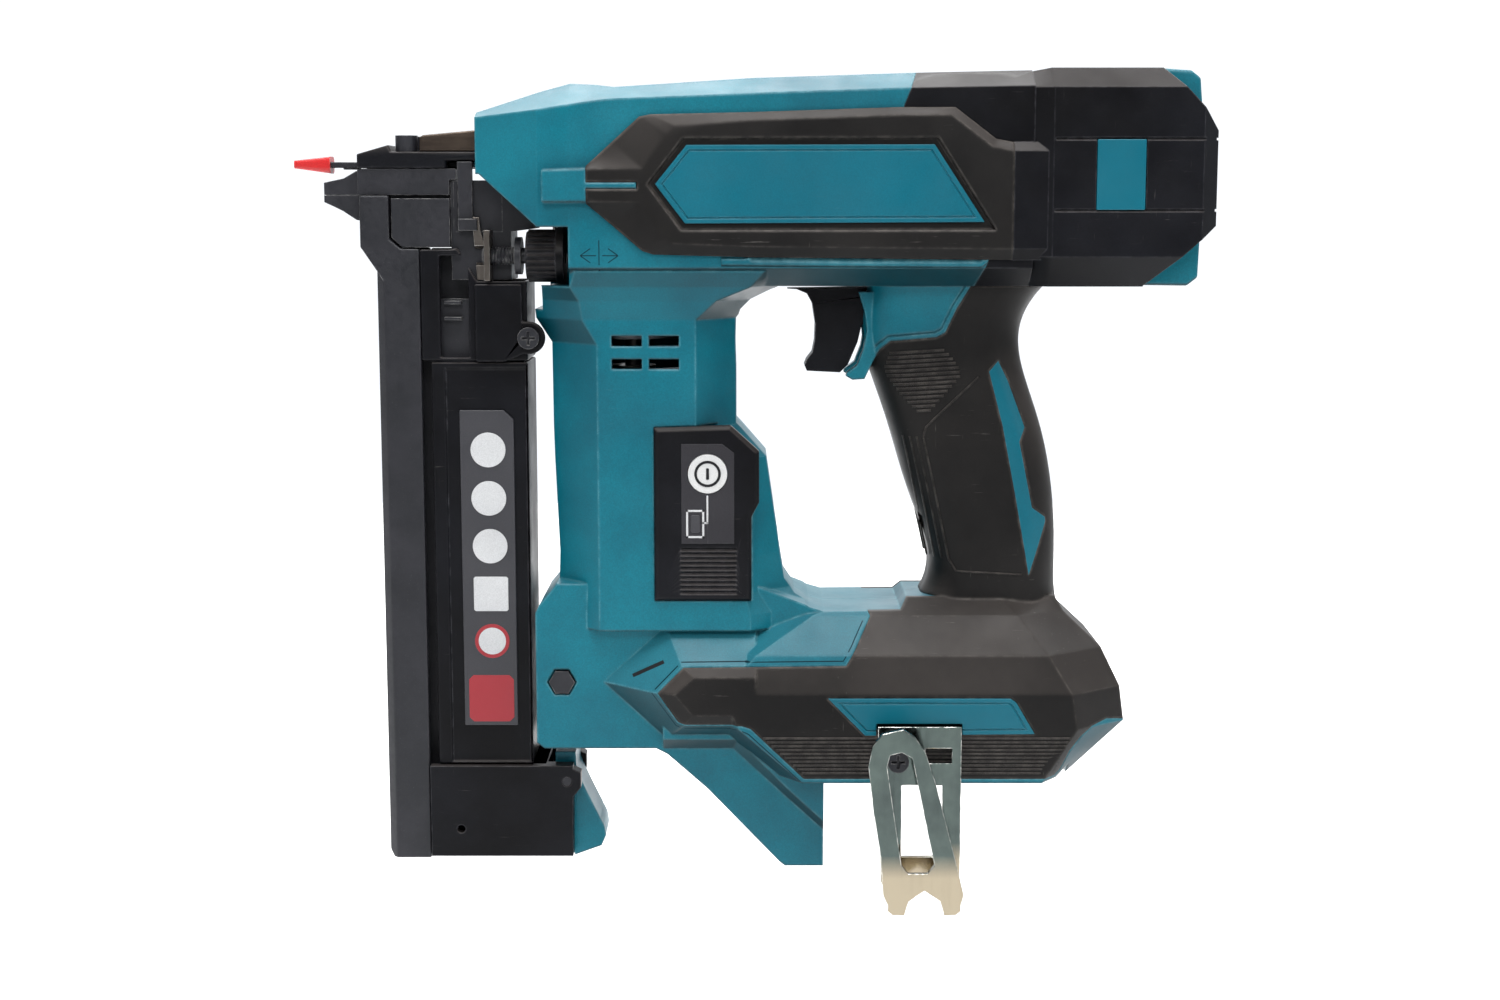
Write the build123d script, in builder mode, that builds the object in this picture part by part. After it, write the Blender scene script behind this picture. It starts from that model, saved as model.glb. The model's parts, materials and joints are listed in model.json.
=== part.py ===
from build123d import *

import math
import os

# Cordless narrow-crown brad nailer. Millimetres, +Z up.
# The origin is the centre of the muzzle face. +X runs back along the drive axis, and Y is left and right:
# the tool is symmetric about Y = 0 apart from the belt hook and the control panel, which are at -Y.

# ---------------------------------------------------------------- driving dimensions
BODY_SIDE = 34.0          # half width of the motor-side housing beside the cylinder
PANEL_PROUD = 3.5         # how far the rubber side panel stands out of the housing
HEAD_SIDE = 38.5          # half width of the rear head cover
COLUMN_SIDE = 29.0        # half width of the motor column
SKIRT_SIDE = 24.0         # half width of the lower front box
FOOT_SIDE = 39.0          # half width of the battery foot
HANDLE_SIDE = 18.5        # half width of the handle over its rubber
WALL = 3.0                # housing wall
SKIN = 2.5                # rubber overmould thickness
NOSE_SIDE = 13.5          # half width of the nose blocks
MAGAZINE_SIDE = 14.5      # half width of the magazine
MAGAZINE_REAR = 71.6      # where the sliding cover's back is
GAP = 0.3                 # clearance between moving curved neighbours

MOTOR_X = 108.0           # vertical motor axis
CYLINDER_START = 124.0
CYLINDER_END = 232.0
BORE_RADIUS = 17.0
CYLINDER_RADIUS = 20.5
CHAMBER_RADIUS = 27.5
CHAMBER_END = 284.0
PISTON_START = 143.0
PISTON_LENGTH = 13.0

BLADE_HALF = 2.8          # half width of the driver blade
BLADE_THICKNESS = 1.2

LIFTER_X = 92.0           # lifter axle, beside the blade
PIN_CIRCLE = 12.2         # radius of the lifter's pins
PIN_RADIUS = 1.5
LIFTER_Y = BLADE_HALF + GAP + PIN_RADIUS + PIN_CIRCLE
PIN_COUNT = 8             # places round the wheel, one of which is left empty
RACK_PITCH = 2 * math.pi * PIN_CIRCLE / PIN_COUNT
RACK_TEETH = 7
RACK_TOOTH_REACH = 7.2    # how far the blade's teeth stand out to the right

PINION_TEETH = 21
LIFTER_TEETH = 27
SUN_TEETH = 12
PLANET_TEETH = 15
RING_TEETH = 42
PLANET_MODULE = 0.9
PLANET_ORBIT = PLANET_MODULE * (SUN_TEETH + PLANET_TEETH) / 2
SPUR_MODULE = 2 * math.hypot(MOTOR_X - LIFTER_X, LIFTER_Y) / (PINION_TEETH + LIFTER_TEETH)

KNOB_Y = -14.0            # depth adjuster axis
KNOB_Z = -21.3
SCREW_RADIUS = 3.2

NOSE_BOLT_X = 29.6        # two bolts stand here on top of the nose, left and right
NOSE_BOLT_Y = 7.5
PANEL_PIN_X = 45.4        # small cross hole in the magazine's end cap
PANEL_PIN_Z = -227.4
LATCH_PIN_X = 83.8
LATCH_PIN_Z = -209.8
TRIGGER_PIVOT_X = 192.0
TRIGGER_PIVOT_Z = -36.0
BUTTON_X = 135.1          # power button
BUTTON_Z = -96.0
EAR_X = 72.3              # screw ear of the magazine's side plate
EAR_Z = -49.9
MAGAZINE_BOLT = (83.1, -171.4)

HEAD_INSERT_LOW_Z = -5.5
HEAD_INSERT_HIGH_Z = 18.4
SADDLE = 1.5              # thickness of the head cover where it laps over the housing
ENGRAVING = 0.5           # width and depth of the engraved lines

HOOK_PLATE_Y = -FOOT_SIDE - 0.6
HOOK_SHEET = 1.8
HOOK_STAND_OFF = 15.0
HOOK_SCREW = (201.3, -195.4)
SCREW_SEAT_Y = 12.0       # the housing screws go in from the right and seat here
SCREW_TIP_Y = -11.0

# The pinion has a tooth on the line between the two axles, and the lifter gear a space.
LINE_ANGLE = math.degrees(math.atan2(LIFTER_Y, LIFTER_X - MOTOR_X))
MESH_TURN = LINE_ANGLE + 180 + 180 / LIFTER_TEETH

os.makedirs("parts", exist_ok=True)


# ---------------------------------------------------------------- shared shapes
def prism(points, y_low, y_high, mode=Mode.ADD):
    """Adds an outline drawn in X and Z, from one Y to another, to the open part."""
    with BuildSketch(Plane.XZ.offset(-y_high)) as profile:
        with BuildLine():
            Polyline(*points, close=True)
        make_face()
    extrude(profile.sketch, amount=y_high - y_low, mode=mode)


def block(low, high, mode=Mode.ADD):
    """Adds the box between two corners to the open part."""
    middle = [(a + b) / 2 for a, b in zip(low, high)]
    size = [b - a for a, b in zip(low, high)]
    with Locations(tuple(middle)):
        Box(*size, mode=mode)


def both_sides(near, far):
    """The two spans of Y, left then right, between two distances from the middle."""
    return [(-far, -near), (near, far)]


def side_span(side, near, far):
    """The span of Y on one side, -1 or 1, between two distances from the middle."""
    return both_sides(near, far)[(side + 1) // 2]


def inset(points, amount):
    """A closed outline, given anticlockwise or clockwise, with every edge moved inwards."""
    area = sum(a[0] * b[1] - b[0] * a[1] for a, b in zip(points, points[1:] + points[:1]))
    turn = math.copysign(1, area)
    moved = []
    for before, here, after in zip(points[-1:] + points[:-1], points, points[1:] + points[:1]):
        into = math.atan2(here[1] - before[1], here[0] - before[0])
        out = math.atan2(after[1] - here[1], after[0] - here[0])
        half_turn = (out - into) / 2
        reach = amount / math.cos(half_turn)
        normal = into + half_turn + turn * math.pi / 2
        moved.append((here[0] + reach * math.cos(normal), here[1] + reach * math.sin(normal)))
    return moved


def engrave(points, margin, y_low, y_high):
    """Cuts a fine line that follows an outline at a margin inside it."""
    with BuildPart() as line:
        prism(inset(points, margin), y_low, y_high)
        prism(inset(points, margin + ENGRAVING), y_low, y_high, Mode.SUBTRACT)
    add(line.part, mode=Mode.SUBTRACT)


def rod(axis, start, end, across, radius, mode=Mode.ADD):
    """Adds a round bar along X, Y or Z. across holds its place on the other two axes."""
    plane = {"X": Plane.YZ, "Y": Plane.XZ, "Z": Plane.XY}[axis]
    offset = -end if axis == "Y" else start
    with BuildSketch(plane.offset(offset)) as circle:
        with Locations(across):
            Circle(radius)
    extrude(circle.sketch, amount=end - start, mode=mode)


def octagon_loft(plane, sections, mode=Mode.ADD):
    """Lofts straight-sided sections, each an offset along the plane's normal and a list of points."""
    profiles = []
    for offset, points in sections:
        with BuildSketch(plane.offset(offset)) as profile:
            with BuildLine():
                Polyline(*points, close=True)
            make_face()
        profiles.append(profile.sketch)
    loft(profiles, ruled=True, mode=mode)


def body_section(top, top_half, edge, side, low, bottom, bottom_half, wall=0.0):
    """Eight corners of the body in Y and Z, pulled in by a wall thickness."""
    upper = [(top_half - wall / 2, top - wall), (side - wall, edge - wall / 2)]
    lower = [(side - wall, low + wall / 2), (bottom_half - wall / 2, bottom + wall)]
    right = upper + lower
    return right + [(-y, z) for y, z in reversed(right)]


def upright_section(front, front_side, rear_side, rear, side, front_half, rear_half, wall=0.0):
    """Eight corners of a column or foot section in X and Y, pulled in by a wall thickness."""
    near = [(front + wall, -front_half), (front_side + wall / 2, -side + wall)]
    far = [(rear_side - wall / 2, -side + wall), (rear - wall, -rear_half)]
    left = near + far
    return left + [(x, -y) for x, y in reversed(left)]


def save(builder, name):
    """Labels a finished piece and writes it as one STEP file."""
    builder.part.label = name
    export_step(builder.part, f"parts/{name}.step")


def gear_points(teeth, module, backlash=0.12, internal=False):
    """Straight-flanked gear outline about the origin, with clearance at its tips and flanks."""
    pitch_radius = module * teeth / 2
    outer = pitch_radius + module * (1.15 if internal else 0.8)
    inner = pitch_radius - module * (0.75 if internal else 1.15)
    half_pitch = math.pi / teeth
    share = (1 + backlash) if internal else (1 - backlash)
    at_pitch = half_pitch / 2 * share
    slope = math.tan(math.radians(20)) * module / pitch_radius
    points = []
    for tooth in range(teeth):
        centre = 2 * math.pi * tooth / teeth
        for radius, half in ((inner, at_pitch + slope), (outer, at_pitch - 0.75 * slope)):
            points.append((radius, centre - half))
        points.append((outer, centre + at_pitch - 0.75 * slope))
        points.append((inner, centre + at_pitch + slope))
    return [(r * math.cos(a), r * math.sin(a)) for r, a in points]


def turned(points, degrees):
    """The same points turned about the origin."""
    c = math.cos(math.radians(degrees))
    s = math.sin(math.radians(degrees))
    return [(x * c - y * s, x * s + y * c) for x, y in points]


def gear_disc(points, centre, z_low, z_high, mode=Mode.ADD):
    """Adds a flat gear about a vertical axis to the open part."""
    placed = [(x + centre[0], y + centre[1]) for x, y in points]
    with BuildSketch(Plane.XY.offset(z_low)) as outline:
        with BuildLine():
            Polyline(*placed, close=True)
        make_face()
    extrude(outline.sketch, amount=z_high - z_low, mode=mode)


# ---------------------------------------------------------------- outlines of the body
# Each section along X: top height and half width, side edge height, side half width, low edge, bottom.
BODY_SECTIONS = [
    (55.5, (27.8, 18, 26.0, 24, -16, -22, 15)),
    (77.5, (34.8, 18, 28.2, 33, -25, -31.5, 22)),
    (88.0, (37.6, 18, 29.8, 34, -25, -31.5, 24)),
    (97.0, (37.2, 18, 31.2, 34, -25, -31.5, 24)),
    (103.0, (36.4, 20, 31.8, 34, -25, -31.5, 24)),
    (150.0, (39.3, 22, 33.6, 34, -25, -31.5, 24)),
    (205.0, (41.0, 23, 35.5, 34, -25, -31.5, 24)),
    (246.0, (41.8, 24, 36.2, 34, -25, -31.5, 24)),
]
# Each section up Z: front, front side, rear side, rear, side half width, front and rear half widths.
COLUMN_SECTIONS = [
    (-152.0, (80.6, 97, 150, 172, 29, 12, 14)),
    (-146.0, (80.6, 97, 150, 172, 29, 12, 14)),
    (-139.0, (81.6, 97, 148, 164.5, 29, 12, 12)),
    (-126.0, (82.0, 97, 146, 160.5, 29, 12, 12)),
    (-92.0, (80.6, 97, 141, 155.5, 29, 12, 12)),
    (-80.5, (80.3, 97, 131, 145.5, 29, 12, 12)),
    (-51.5, (80.1, 97, 131, 144.6, 29, 12, 12)),
    (-43.0, (74.6, 92, 131, 144.8, 29, 12, 12)),
    (-36.5, (73.8, 91, 138, 150, 30, 12, 14)),
    (-31.6, (73.8, 88, 150, 160, 31, 14, 16)),
    (-26.0, (76.0, 90, 155, 168, 33, 18, 20)),
]
FOOT_SECTIONS = [
    (-204.4, (150, 168, 252, 261, 38, 14, 26)),
    (-185.0, (124, 146, 264, 282.5, FOOT_SIDE, 12, 24)),
    (-172.5, (117, 140, 262, 280.8, FOOT_SIDE, 12, 24)),
    (-159.3, (129, 152, 254, 274.5, 36, 14, 20)),
    (-147.0, (152, 172, 244, 261.5, 26, 14, 16)),
    (-142.0, (166, 190, 238, 258.5, 17, 12, 14)),
]
# Each handle section up Z: front X, rear X, and half width.
HANDLE_SECTIONS = [
    (-150.0, (204.0, 263.0, 19.0)),
    (-143.0, (210.5, 260.0, 18.0)),
    (-134.0, (214.0, 259.3, HANDLE_SIDE)),
    (-113.0, (209.6, 258.8, HANDLE_SIDE)),
    (-86.0, (200.8, 254.6, HANDLE_SIDE)),
    (-66.0, (194.0, 248.3, 18.0)),
    (-52.0, (190.0, 245.3, 17.5)),
    (-38.0, (190.0, 249.0, 18.0)),
    (-24.0, (190.0, 262.0, 20.0)),
]
SKIRT_OUTLINE = [
    (81.6, -136.0), (79.6, -138.6), (75.4, -143.6), (74.0, -146.4), (74.0, -193.4), (76.7, -195.5),
    (116.4, -195.5),
    (120.5, -197.6), (134.7, -210.2), (160.3, -237.1), (162.3, -238.7), (176.0, -238.7), (176.0, -146.0),
    (150.0, -136.0),
]
# The teal top of the handle round the trigger, which the rubber stops short of.
HANDLE_TOP = [
    (150, -20), (184, -66), (190.2, -64.6), (193.1, -58.5), (195.5, -54), (199, -51), (215, -49.6),
    (218, -48), (222, -39.5), (229.2, -27.6), (231, -20),
]
STRIPE = [
    (236.8, -57.9), (233.6, -61.6), (238.6, -80.8), (243.6, -106.2), (248.7, -133.9), (254.7, -114.9),
    (254.4, -113.4), (249.5, -109.8), (244.6, -86.3), (246.5, -81.3), (240.4, -65.1),
]
FOOT_GUARD = [
    (117.6, -172.5), (126.6, -163.4), (183.3, -162.8), (186.7, -157.2), (192.1, -147.1), (187.6, -138.5),
    (150.0, -138.5), (150.0, -120.0), (290.0, -120.0), (290.0, -186.0), (275.5, -183.2), (269.5, -184.8),
    (265.5, -188.2), (261.8, -193.2), (258.8, -200.8), (257.0, -202.8), (168.6, -202.8), (150.0, -184.7),
    (147.0, -183.7), (127.1, -183.7), (124.6, -183.0),
]
PANEL = [
    (94.3, -3.3), (94.3, 9.4), (103.4, 17.6), (112.4, 25.8), (116.4, 26.6), (150.0, 27.3), (200.9, 29.0),
    (219.0, 29.0), (232.8, 18.5), (239.0, 17.3), (239.0, -22.2), (150.0, -21.3), (117.0, -20.4),
    (113.2, -19.2), (103.8, -11.2),
]
# The flat of the panel, point for point: its front falls away above and below a level band.
PANEL_FLAT = [
    (94.3, -2.6), (94.3, 8.4), (113.5, 8.4), (121.5, 19.6), (124.5, 22.4), (150.0, 24.6), (200.9, 26.4),
    (217.6, 26.4), (231.6, 15.8), (239.0, 14.4), (239.0, -18.4), (150.0, -17.6), (124.0, -16.6),
    (120.5, -14.2), (112.5, -2.6),
]
PANEL_EDGE = 1.3          # thickness of the panel at its outline
NAME_PLATE = [(117.7, 3.3), (128.4, 16.4), (212.0, 16.6), (229.2, -9.4), (127.8, -9.9)]
NAME_RECESS = [(115.2, 3.3), (127.2, 18.6), (213.2, 18.8), (233.0, -12.0), (126.6, -12.1)]
CONTROL_PANEL = [
    (116.4, -80.1), (143.1, -79.3), (153.0, -88.3), (153.0, -106.3), (150.3, -111.3), (150.3, -141.1),
    (116.4, -141.1),
]
INLAY = [
    (176.9, -173.8), (240.5, -173.8), (242.5, -175.3), (249.1, -186.5), (189.9, -187.0),
]
BATTERY_BAY_LOW = (177.5, -30.0, -205.5)
BATTERY_BAY_HIGH = (262.0, 30.0, -190.0)
HOUSING_SCREWS = [(138.5, -66.0), (241.5, -38.0), (181.0, -153.0), (211.5, -153.0), (168.5, -216.0)]
# The hand opening keeps its rounded outline through the join of column, body, handle and foot.
HAND_OPENING = [
    (150.0, -36.3), (146.4, -39.9), (144.9, -44.5), (144.9, -80.0), (155.2, -90.7), (157.8, -103.0),
    (160.4, -126.2), (162.0, -135.7), (165.6, -141.0), (170.8, -144.4), (176.0, -145.9), (203.0, -145.6),
    (207.0, -140.0), (190.0, -120.0), (190.0, -66.8), (160.2, -64.0), (160.2, -31.8), (157.1, -32.8),
]
# The cheeks of the handle on each side of the trigger reach down to a toe in front of it.
TOE = [
    (188.0, -34.0), (190.2, -41.2), (191.0, -47.6), (189.8, -54.0), (187.6, -59.8), (184.0, -62.4),
    (183.7, -63.6), (186.0, -64.9), (190.2, -64.6), (193.1, -58.5), (195.5, -54.0), (195.5, -34.0),
]
# Behind this line the head cover laps over the top and the bottom of the housing.
SADDLE_TOP = [
    (201.8, 27.0), (201.8, 29.4), (208.5, 46.0), (246.0, 46.0), (246.0, -33.0), (226.6, -33.0),
    (231.2, -22.0), (236.0, -10.0), (236.0, 15.0), (217.0, 27.0),
]
# The lower box swells out to the foot in slanting facets. Each level: distance from the middle, outline.
FLANK_LEVELS = [
    (SKIRT_SIDE - 1, [(119.7, -149.9), (96.3, -171.1), (119.5, -192.4), (152.0, -192.4), (152.0, -149.9)]),
    (FOOT_SIDE - 2.5, [(126.0, -162.9), (117.2, -172.5), (126.6, -184.2), (152.0, -184.2), (152.0, -162.9)]),
    (FOOT_SIDE, [(130.4, -166.4), (123.6, -172.6), (129.8, -180.0), (152.0, -180.0), (152.0, -166.4)]),
]
# A raised rim under the foot's guard, from its foot on the lower box to its flat.
RIM_LEVELS = [
    (SKIRT_SIDE - 1, [
        (119.0, -184.0), (119.0, -196.6), (143.3, -196.6), (159.6, -211.5), (176.0, -226.5), (176.0, -184.0),
    ]),
    (SKIRT_SIDE + 4, [
        (119.0, -184.0), (119.0, -191.2), (145.4, -191.2), (162.9, -208.8), (176.0, -221.0), (176.0, -184.0),
    ]),
]


def add_handle(pulled_in, mode=Mode.ADD):
    """Adds the handle, rounded and slanted, pulled in all round."""
    profiles = []
    for z, (front, rear, side) in HANDLE_SECTIONS:
        with BuildSketch(Plane.XY.offset(z)) as profile:
            with Locations(((front + rear) / 2, 0)):
                RectangleRounded(
                    rear - front - 2 * pulled_in, 2 * (side - pulled_in), 14.0 - pulled_in
                )
        profiles.append(profile.sketch)
    loft(profiles, mode=mode)


def add_foot(pulled_in, mode=Mode.ADD):
    """Adds the battery foot, pulled in all round."""
    sections = [(z, upright_section(*values, wall=pulled_in)) for z, values in FOOT_SECTIONS]
    octagon_loft(Plane.XY, sections, mode)


def add_flank(pulled_in, mode=Mode.ADD):
    """Adds the facets between the lower box and the foot, with their outer levels pulled in."""
    for sign in (-1, 1):
        near, middle, outer = FLANK_LEVELS
        levels = [
            (sign * near[0], near[1]),
            (sign * (middle[0] - pulled_in), middle[1]),
            (sign * (outer[0] - pulled_in), outer[1]),
        ]
        octagon_loft(Plane.XZ, levels, mode)


def add_overmould_shape(pulled_in, mode=Mode.ADD):
    """Adds the handle, foot and flank out to their rubber, or under it."""
    add_handle(pulled_in, mode)
    add_foot(pulled_in, mode)
    add_flank(pulled_in, mode)


def make_saddle():
    """The part of the head cover that laps over the housing."""
    with BuildPart() as saddle:
        octagon_loft(Plane.YZ, [(x, body_section(*v)) for x, v in BODY_SECTIONS])
        octagon_loft(Plane.YZ, [(x, body_section(*v, wall=SADDLE)) for x, v in BODY_SECTIONS], Mode.SUBTRACT)
        prism(SADDLE_TOP, -60, 60, Mode.INTERSECT)
    return saddle


# ---------------------------------------------------------------- clamshell housing
def make_grip_top():
    """Bare top of the handle, where the rubber stops short, with a line engraved round its edge."""
    with BuildPart() as skin:
        add_handle(0.0)
        add_handle(ENGRAVING, Mode.SUBTRACT)
        prism(inset(HANDLE_TOP, 1.5), -60, 60, Mode.INTERSECT)
        prism(inset(HANDLE_TOP, 1.5 + ENGRAVING), -60, 60, Mode.SUBTRACT)
        block((188.0, -60, -70), (240.0, 60, -24), Mode.INTERSECT)
    with BuildPart() as grip_top:
        add_handle(0.0)
        prism(HANDLE_TOP, -60, 60, Mode.INTERSECT)
        add(skin.part, mode=Mode.SUBTRACT)
    return grip_top


def make_housing_shape():
    """The whole teal shell, before it is split into its two halves."""
    grip_top = make_grip_top()
    saddle = make_saddle()
    with BuildPart() as foot_bare:
        add_foot(0.0)
        add_flank(0.0)
        prism(FOOT_GUARD, -60, 60, Mode.SUBTRACT)
    with BuildPart() as shell:
        octagon_loft(Plane.YZ, [(x, body_section(*v)) for x, v in BODY_SECTIONS])
        octagon_loft(Plane.XY, [(z, upright_section(*v)) for z, v in COLUMN_SECTIONS])
        add_overmould_shape(SKIN)
        add(grip_top.part)
        add(foot_bare.part)
        prism(TOE, -12.5, 12.5)
        prism(SKIRT_OUTLINE, -SKIRT_SIDE, SKIRT_SIDE)
        for side in (-1, 1):
            octagon_loft(Plane.XZ, [(side * distance, points) for distance, points in RIM_LEVELS])
        # Raised pads in front of the side panels, each with a tongue that runs on into its panel.
        for low, high in both_sides(BODY_SIDE - 3, BODY_SIDE + PANEL_PROUD):
            prism([(79.4, -2.6), (94.3, -2.6), (94.3, 8.4), (79.4, 8.0)], low, high)
            prism([(90, 1.9), (111.3, 1.9), (111.3, 3.8), (90, 3.8)], low, high)
        # Front mouth over the nose, and the pocket round the depth knob.
        prism([(40, 6.8), (56.7, 6.8), (77.2, -11.1), (77.2, -40), (40, -40)], -60, 60, Mode.SUBTRACT)
        block((70.0, -60, -31.4), (87.9, -2.0, -11.1), Mode.SUBTRACT)
        # Inside of the body and the column.
        inner_body = [(x, body_section(*v, wall=WALL)) for x, v in BODY_SECTIONS[2:]]
        inner_front = (50.0, body_section(27.0, 18, 22.0, 22, -16, -22, 15, wall=WALL))
        octagon_loft(Plane.YZ, [inner_front] + inner_body, Mode.SUBTRACT)
        block((50.0, -15.5, -34), (80.0, 15.5, 24.0), Mode.SUBTRACT)
        rod("Z", -137.0, -10.0, (MOTOR_X, 0), 25.5, Mode.SUBTRACT)
        block((116.0, -26.0, -137.0), (140.0, 20.0, -82.0), Mode.SUBTRACT)
        # The head, its lap over the housing and the air chamber need their space.
        block((246.0, -60, -31.5), (330.0, 60, 60.0), Mode.SUBTRACT)
        add(saddle.part, mode=Mode.SUBTRACT)
        # Room for the trigger and its switch, and the hollow handle.
        block((150.0, -7.0, -68.0), (200.0, 7.0, -20.0), Mode.SUBTRACT)
        block((199.0, -11.0, -62.0), (236.0, 11.0, -24.0), Mode.SUBTRACT)
        rod("Y", -9.6, 9.6, (TRIGGER_PIVOT_X, TRIGGER_PIVOT_Z), 1.55, Mode.SUBTRACT)
        octagon_loft(
            Plane.XY,
            [
                (-196.0, [(214, -9), (240, -9), (240, 9), (214, 9)]),
                (-134.0, [(222, -11), (249, -11), (249, 11), (222, 11)]),
                (-58.0, [(203, -11), (235, -11), (235, 11), (203, 11)]),
            ],
            Mode.SUBTRACT,
        )
        prism(HAND_OPENING, -60, 60, Mode.SUBTRACT)
        # Hollow front box, the battery bay under the foot and the board space above it.
        block((78.0, -20.0, -191.5), (160.0, 20.0, -150.0), Mode.SUBTRACT)
        block(BATTERY_BAY_LOW, BATTERY_BAY_HIGH, Mode.SUBTRACT)
        block((166.0, -28.0, -186.5), (252.0, 28.0, -168.0), Mode.SUBTRACT)
        # Cooling vents, two rows of two on each side.
        for x_low, x_high in ((102.0, 112.5), (114.9, 125.3)):
            for z_low, z_high in ((-52.0, -48.4), (-59.9, -56.4)):
                block((x_low, -60, z_low), (x_high, 60, z_high), Mode.SUBTRACT)
        # Control panel opening in the left side of the column.
        prism(CONTROL_PANEL, -60, -20, Mode.SUBTRACT)
        # Sockets for the housing screws, and the hexagonal one of the magazine bolt.
        for place in HOUSING_SCREWS:
            rod("Y", SCREW_TIP_Y - 0.2, 60.0, place, 1.6, Mode.SUBTRACT)
            rod("Y", SCREW_SEAT_Y, 60.0, place, 3.6, Mode.SUBTRACT)
        with BuildSketch(Plane.XZ.offset(SKIRT_SIDE - 2.5)) as socket:
            with Locations(MAGAZINE_BOLT):
                RegularPolygon(5.3, 6)
        extrude(socket.sketch, amount=6, mode=Mode.SUBTRACT)
        rod("Y", -60.0, 60.0, MAGAZINE_BOLT, 2.6, Mode.SUBTRACT)
        # Slot in the foot for the belt hook's tab, its screw hole, and the spare hole on the right.
        block((194.0, -45.0, -185.4), (223.6, -34.0, -183.0), Mode.SUBTRACT)
        rod("Y", -50.0, -31.0, HOOK_SCREW, 1.6, Mode.SUBTRACT)
        rod("Y", 31.0, 50.0, HOOK_SCREW, 2.0, Mode.SUBTRACT)
    return shell


def make_housing():
    shell = make_housing_shape()
    with BuildPart() as housing_left:
        add(shell.part)
        block((40, 0, -260), (320, 60, 60), Mode.SUBTRACT)
    save(housing_left, "housing_left")
    with BuildPart() as housing_right:
        add(shell.part)
        block((40, -60, -260), (320, 0, 60), Mode.SUBTRACT)
    save(housing_right, "housing_right")


# ---------------------------------------------------------------- rubber and trim on the housing
def make_side_panels():
    """Rubber panels beside the cylinder, with a blank name plate sunk in each."""
    for name, side in (("body_panel_left", -1), ("body_panel_right", 1)):
        # The XZ plane's normal is -Y.
        levels = [
            (-side * (BODY_SIDE + PANEL_EDGE), PANEL),
            (-side * (BODY_SIDE + PANEL_PROUD), PANEL_FLAT),
        ]
        with BuildPart() as panel:
            prism(PANEL, *side_span(side, BODY_SIDE, BODY_SIDE + PANEL_EDGE))
            octagon_loft(Plane.XZ, levels)
            prism(NAME_RECESS, *side_span(side, BODY_SIDE + 1.6, 60), Mode.SUBTRACT)
            tongue = [(80, 1.7), (111.6, 1.7), (111.6, 4.0), (80, 4.0)]
            prism(tongue, *side_span(side, 30, 60), Mode.SUBTRACT)
        save(panel, name)
    with BuildPart() as name_plates:
        for low, high in both_sides(BODY_SIDE + 1.6, BODY_SIDE + 3.0):
            prism(NAME_PLATE, low, high)
        for low, high in both_sides(BODY_SIDE + 3.0 - ENGRAVING, BODY_SIDE + 3.1):
            engrave(NAME_PLATE, 1.6, low, high)
    save(name_plates, "name_plates")


def make_handle_skin():
    """Rubber of the handle, all round, above the foot."""
    with BuildPart() as skin:
        add_handle(0.0)
        add_handle(SKIN, Mode.SUBTRACT)
        prism(HANDLE_TOP, -60, 60, Mode.SUBTRACT)
        block((150, -60, -138.5), (300, 60, -31.5), Mode.INTERSECT)
        prism(HAND_OPENING, -60, 60, Mode.SUBTRACT)
    return skin


def make_foot_skin():
    """Rubber of the foot and its flank, inside the guard's outline."""
    with BuildPart() as skin:
        add_overmould_shape(0.0)
        add_overmould_shape(SKIN, Mode.SUBTRACT)
        prism(FOOT_GUARD, -60, 60, Mode.INTERSECT)
        block((100, -60, -210), (300, 60, -138.5), Mode.INTERSECT)
        columns = [(z, upright_section(*v)) for z, v in COLUMN_SECTIONS[:5]]
        octagon_loft(Plane.XY, columns, Mode.SUBTRACT)
        prism(SKIRT_OUTLINE, -SKIRT_SIDE, SKIRT_SIDE, Mode.SUBTRACT)
        prism(HAND_OPENING, -60, 60, Mode.SUBTRACT)
        for side in (-1, 1):
            octagon_loft(
                Plane.XZ, [(side * distance, points) for distance, points in RIM_LEVELS], Mode.SUBTRACT
            )
    return skin


def make_grips():
    """Rubber skin of the handle and foot, one piece each side, and the trim let into it."""
    handle_skin = make_handle_skin()
    foot_skin = make_foot_skin()
    for name, side in (("grip_left", -1), ("grip_right", 1)):
        low, high = side_span(side, 0, 60)
        with BuildPart() as grip:
            add(handle_skin.part)
            add(foot_skin.part)
            block((40, low, -260), (320, high, 60), Mode.INTERSECT)
            prism(STRIPE, *side_span(side, 2, 60), Mode.SUBTRACT)
            prism(INLAY, *side_span(side, FOOT_SIDE - 1.2, 60), Mode.SUBTRACT)
            for place in HOUSING_SCREWS:
                rod("Y", SCREW_SEAT_Y, 60.0, place, 3.6, Mode.SUBTRACT)
            rod("Y", *side_span(side, 30.0, 60.0), HOOK_SCREW, 4.2, Mode.SUBTRACT)
            block((193.8, -60.0, -185.6), (223.8, -34.0, -182.8), Mode.SUBTRACT)
        save(grip, name)
    with BuildPart() as stripes:
        add(handle_skin.part)
        prism(STRIPE, -60, 60, Mode.INTERSECT)
    save(stripes, "grip_stripes")
    with BuildPart() as inlays:
        for low, high in both_sides(FOOT_SIDE - 1.2, FOOT_SIDE + 0.3):
            prism(INLAY, low, high)
        for low, high in both_sides(FOOT_SIDE + 0.3 - ENGRAVING, FOOT_SIDE + 0.4):
            engrave(INLAY, 1.5, low, high)
        block((193.8, -60.0, -190.0), (223.8, -34.0, -182.8), Mode.SUBTRACT)
    save(inlays, "foot_inlays")


# ---------------------------------------------------------------- rear head
def head_section(top, edge, side, low, bottom, wall=0.0):
    return body_section(top, side - 9.0, edge, side, low, bottom, side - 10.0, wall)


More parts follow.
